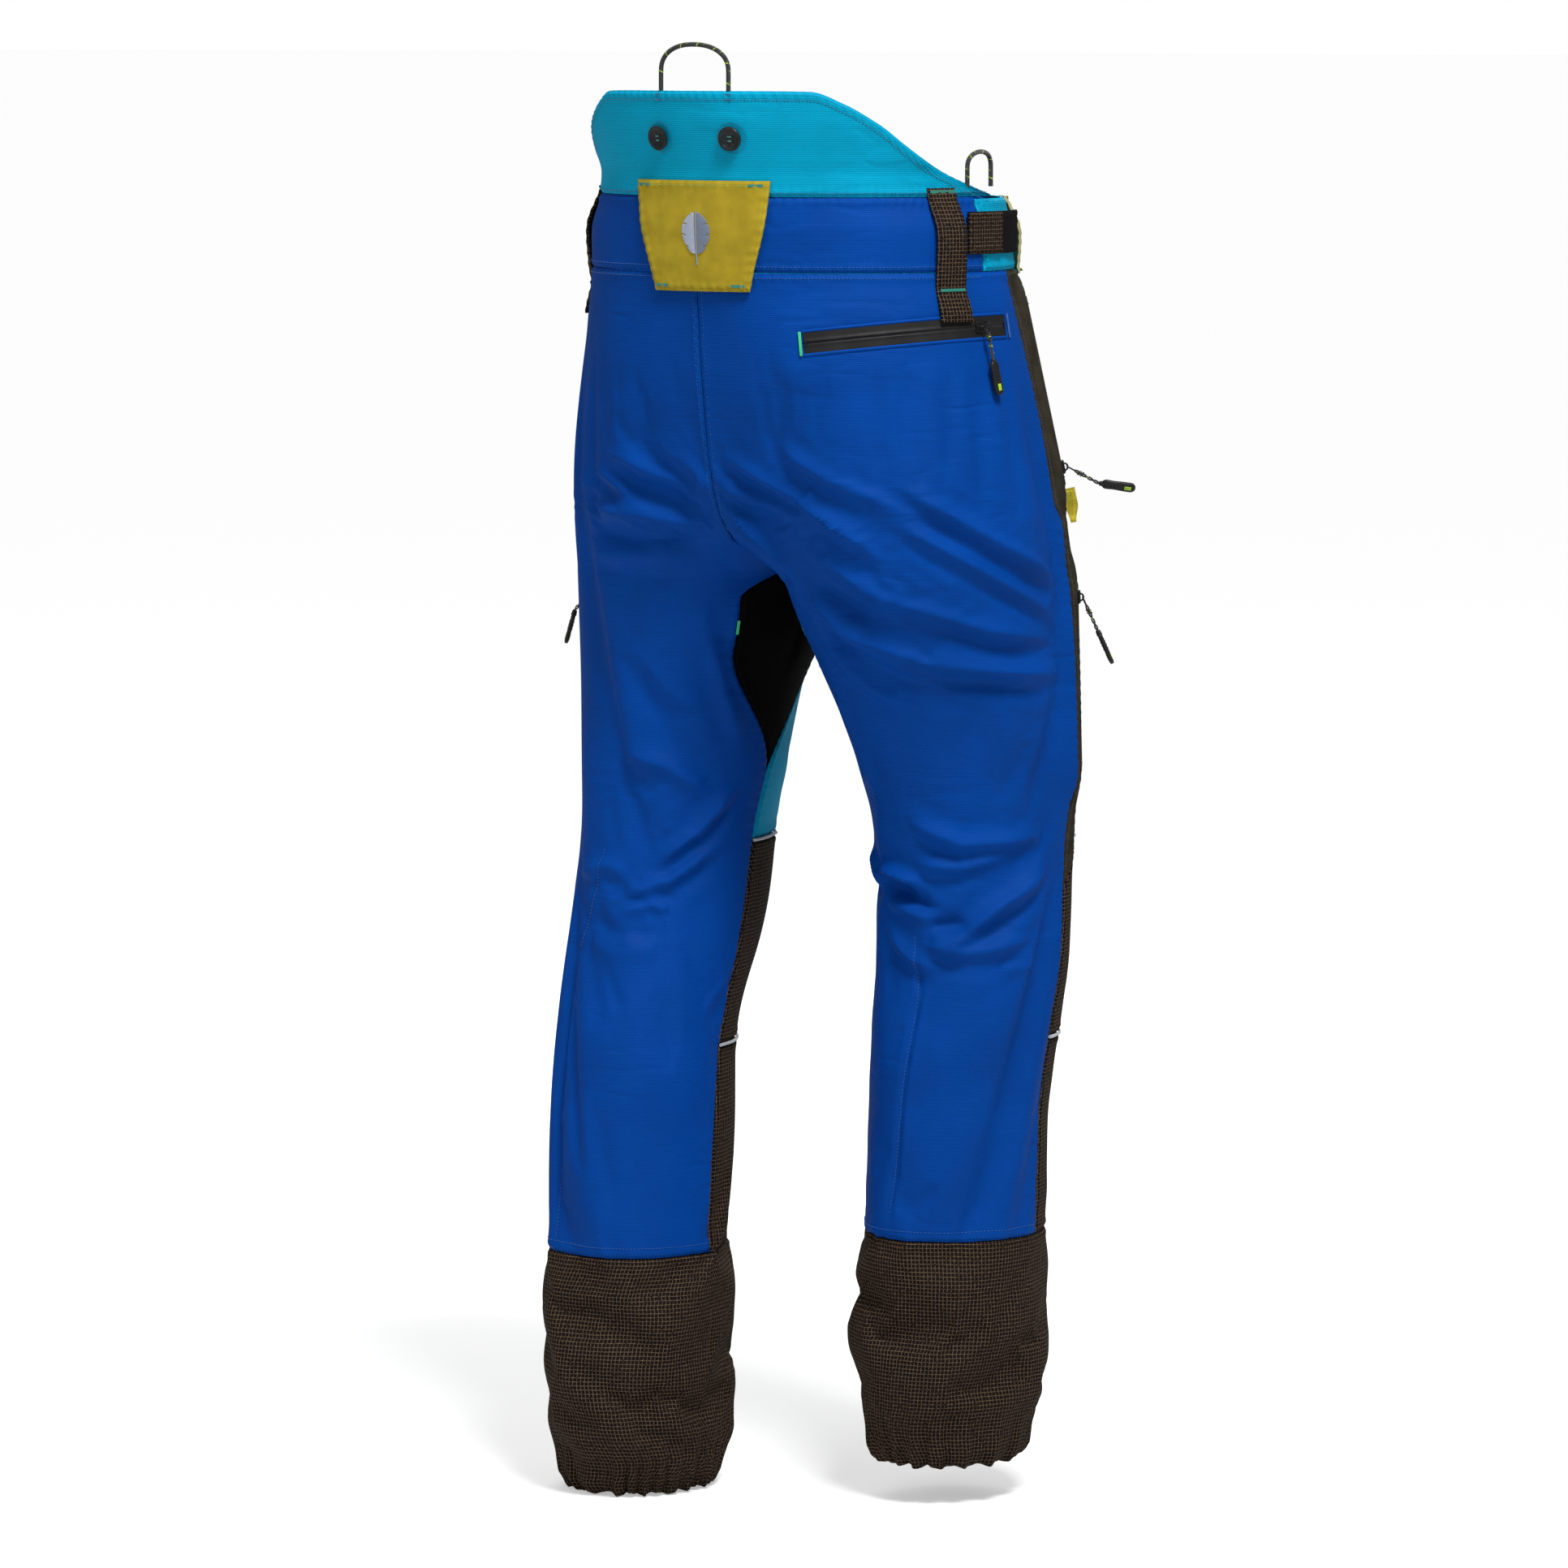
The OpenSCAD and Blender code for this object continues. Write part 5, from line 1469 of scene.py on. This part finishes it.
def stitching():
    for side in (LEFT, RIGHT):
        s = SIDE_NAME[side]
        # centre seam of the seat
        seam_run(s + "_seat_seam", side, lambda h: 0.984 * np.ones_like(h), 792, BAND - 6, "blue", ("hip", side),
                 "blue_ripstop", length=2.2, radius=0.2)
        # shaping seam down the back of the leg
        angles, heights = zip(*CALF_SEAM[side])
        seam_run(s + "_calf_seam", side, lambda h: np.interp(h, heights, angles) / 180 + 0.007,
                 heights[0] + 4, heights[-1] - 4, "blue", ("knee", side), "blue_ripstop", radius=0.24)
        # hem of the calf
        turn = np.linspace(-0.03, 0.985, 260)
        h = np.full(turn.shape, CUFF + 8.5)
        p, n = SHEET[side].at(turn, h)
        place(stitches(s + "_hem_seam_stitches", p + n * 0.15, n, "blue"), ("knee", side), "blue_ripstop")
        # pale tack where the stretch strip ends above the knee
        p, n = SHEET[side].at(front_seam(np.array(541.0)) + 0.012, 541.0)
        q, _ = SHEET[side].at(front_seam(np.array(541.0)) + 0.03, 543.0)
        place(bar_tack(s + "_strip_tack", p, q - p, n, 9, "cream", 3.0), ("hip", side), "olive_stretch")
        # bar tack on the gusset's back edge
        p, n = SHEET[side].at(gusset_edge(np.array(717.0)) - 0.002, 717.0)
        q, _ = SHEET[side].at(gusset_edge(np.array(725.0)) - 0.002, 725.0)
        place(bar_tack(s + "_gusset_tack", p, q - p, n, 12, "green"), ("hip", side), "black_stretch")


# ---- Build ----------------------------------------------------------------------------------------

for side in (LEFT, RIGHT):
    leg_panels(side)
    guards_and_linings(side)
waist()
loops()
adjusters()
side_zips()
rear_zip()
buttons()
cords()
front_closure()
stitching()


# ---- Room, light and camera ------------------------------------------------------------------------

TARGET = Vector((0.0131, 0.0092, 0.584))


def floor_piece():
    bpy.ops.mesh.primitive_plane_add(size=400, location=(0, 0, 0))
    floor = bpy.context.object
    floor.name = "floor"
    pale = Nodes("pale_floor", (0.9, 0.9, 0.9), rough=0.9, spec=0.1)
    speck = pale.noise(pale.new("ShaderNodeTexCoord", out=3), 60, 2)
    floor.data.materials.append(pale.finish(pale.mix(speck, (0.80, 0.80, 0.80), (0.84, 0.84, 0.84))))
    # seen by the camera the floor also glows a little, so it meets the white backdrop with no edge
    glow = pale.tree.nodes.new("ShaderNodeEmission")
    glow.inputs[0].default_value = (1, 1, 1, 1)
    seen = pale.tree.nodes.new("ShaderNodeLightPath")
    far = pale.tree.nodes.new("ShaderNodeVectorMath")
    far.operation = "LENGTH"
    pale.tree.links.new(pale.new("ShaderNodeTexCoord", out=3), far.inputs[0])
    spread = pale.ramp(far.outputs["Value"], 0.45, 3.2)
    pale.set(glow, "Strength", pale.math("MULTIPLY_ADD", spread, 0.35, 0.42))
    blend = pale.tree.nodes.new("ShaderNodeAddShader")
    pick = pale.tree.nodes.new("ShaderNodeMixShader")
    pale.tree.links.new(seen.outputs["Is Camera Ray"], pick.inputs[0])
    pale.tree.links.new(pale.bsdf.outputs[0], pick.inputs[1])
    pale.tree.links.new(pale.bsdf.outputs[0], blend.inputs[0])
    pale.tree.links.new(glow.outputs[0], blend.inputs[1])
    pale.tree.links.new(blend.outputs[0], pick.inputs[2])
    pale.tree.links.new(pick.outputs[0], pale.tree.nodes["Material Output"].inputs[0])


def backdrop():
    """White where the camera sees it, and a weaker light for everything else."""
    world = bpy.data.worlds.new("studio")
    world.use_nodes = True
    bpy.context.scene.world = world
    tree = world.node_tree
    out = tree.nodes["World Output"]
    ambient = tree.nodes["Background"]
    ambient.inputs[0].default_value, ambient.inputs[1].default_value = (1, 1, 1, 1), 0.25
    white = tree.nodes.new("ShaderNodeBackground")
    white.inputs[1].default_value = 1.0
    white.inputs[0].default_value = (1, 1, 1, 1)
    mix, path = tree.nodes.new("ShaderNodeMixShader"), tree.nodes.new("ShaderNodeLightPath")
    tree.links.new(path.outputs["Is Camera Ray"], mix.inputs[0])
    tree.links.new(ambient.outputs[0], mix.inputs[1])
    tree.links.new(white.outputs[0], mix.inputs[2])
    tree.links.new(mix.outputs[0], out.inputs[0])


def aimed(name, data, azimuth, elevation, distance):
    """Adds a lamp or camera that looks at the target from this far, at angles round and above it in degrees."""
    obj = bpy.data.objects.new(name, data)
    a, e = math.radians(azimuth), math.radians(elevation)
    obj.location = TARGET + Vector((math.sin(a) * math.cos(e), -math.cos(a) * math.cos(e), math.sin(e))) * distance
    obj.rotation_euler = (TARGET - obj.location).to_track_quat("-Z", "Y").to_euler()
    bpy.context.scene.collection.objects.link(obj)
    return obj


def lights_and_camera():
    for name, azimuth, elevation, distance, size, power in (
            ("key", 238, 57, 3.4, 0.9, 112), ("fill", 165, 20, 3.4, 2.0, 14), ("front", 30, 28, 3.4, 1.6, 40),
            ("top", 120, 72, 3.0, 1.4, 12)):
        lamp = bpy.data.lights.new(name, "AREA")
        lamp.energy, lamp.size = power, size
        aimed(name, lamp, azimuth, elevation, distance)
    lens = bpy.data.cameras.new("camera")
    lens.sensor_width, lens.lens = 36, 167.7
    bpy.context.scene.camera = aimed("camera", lens, 215, 6, 6.0)
    bpy.context.scene.view_settings.view_transform = "Standard"


floor_piece()
backdrop()
lights_and_camera()
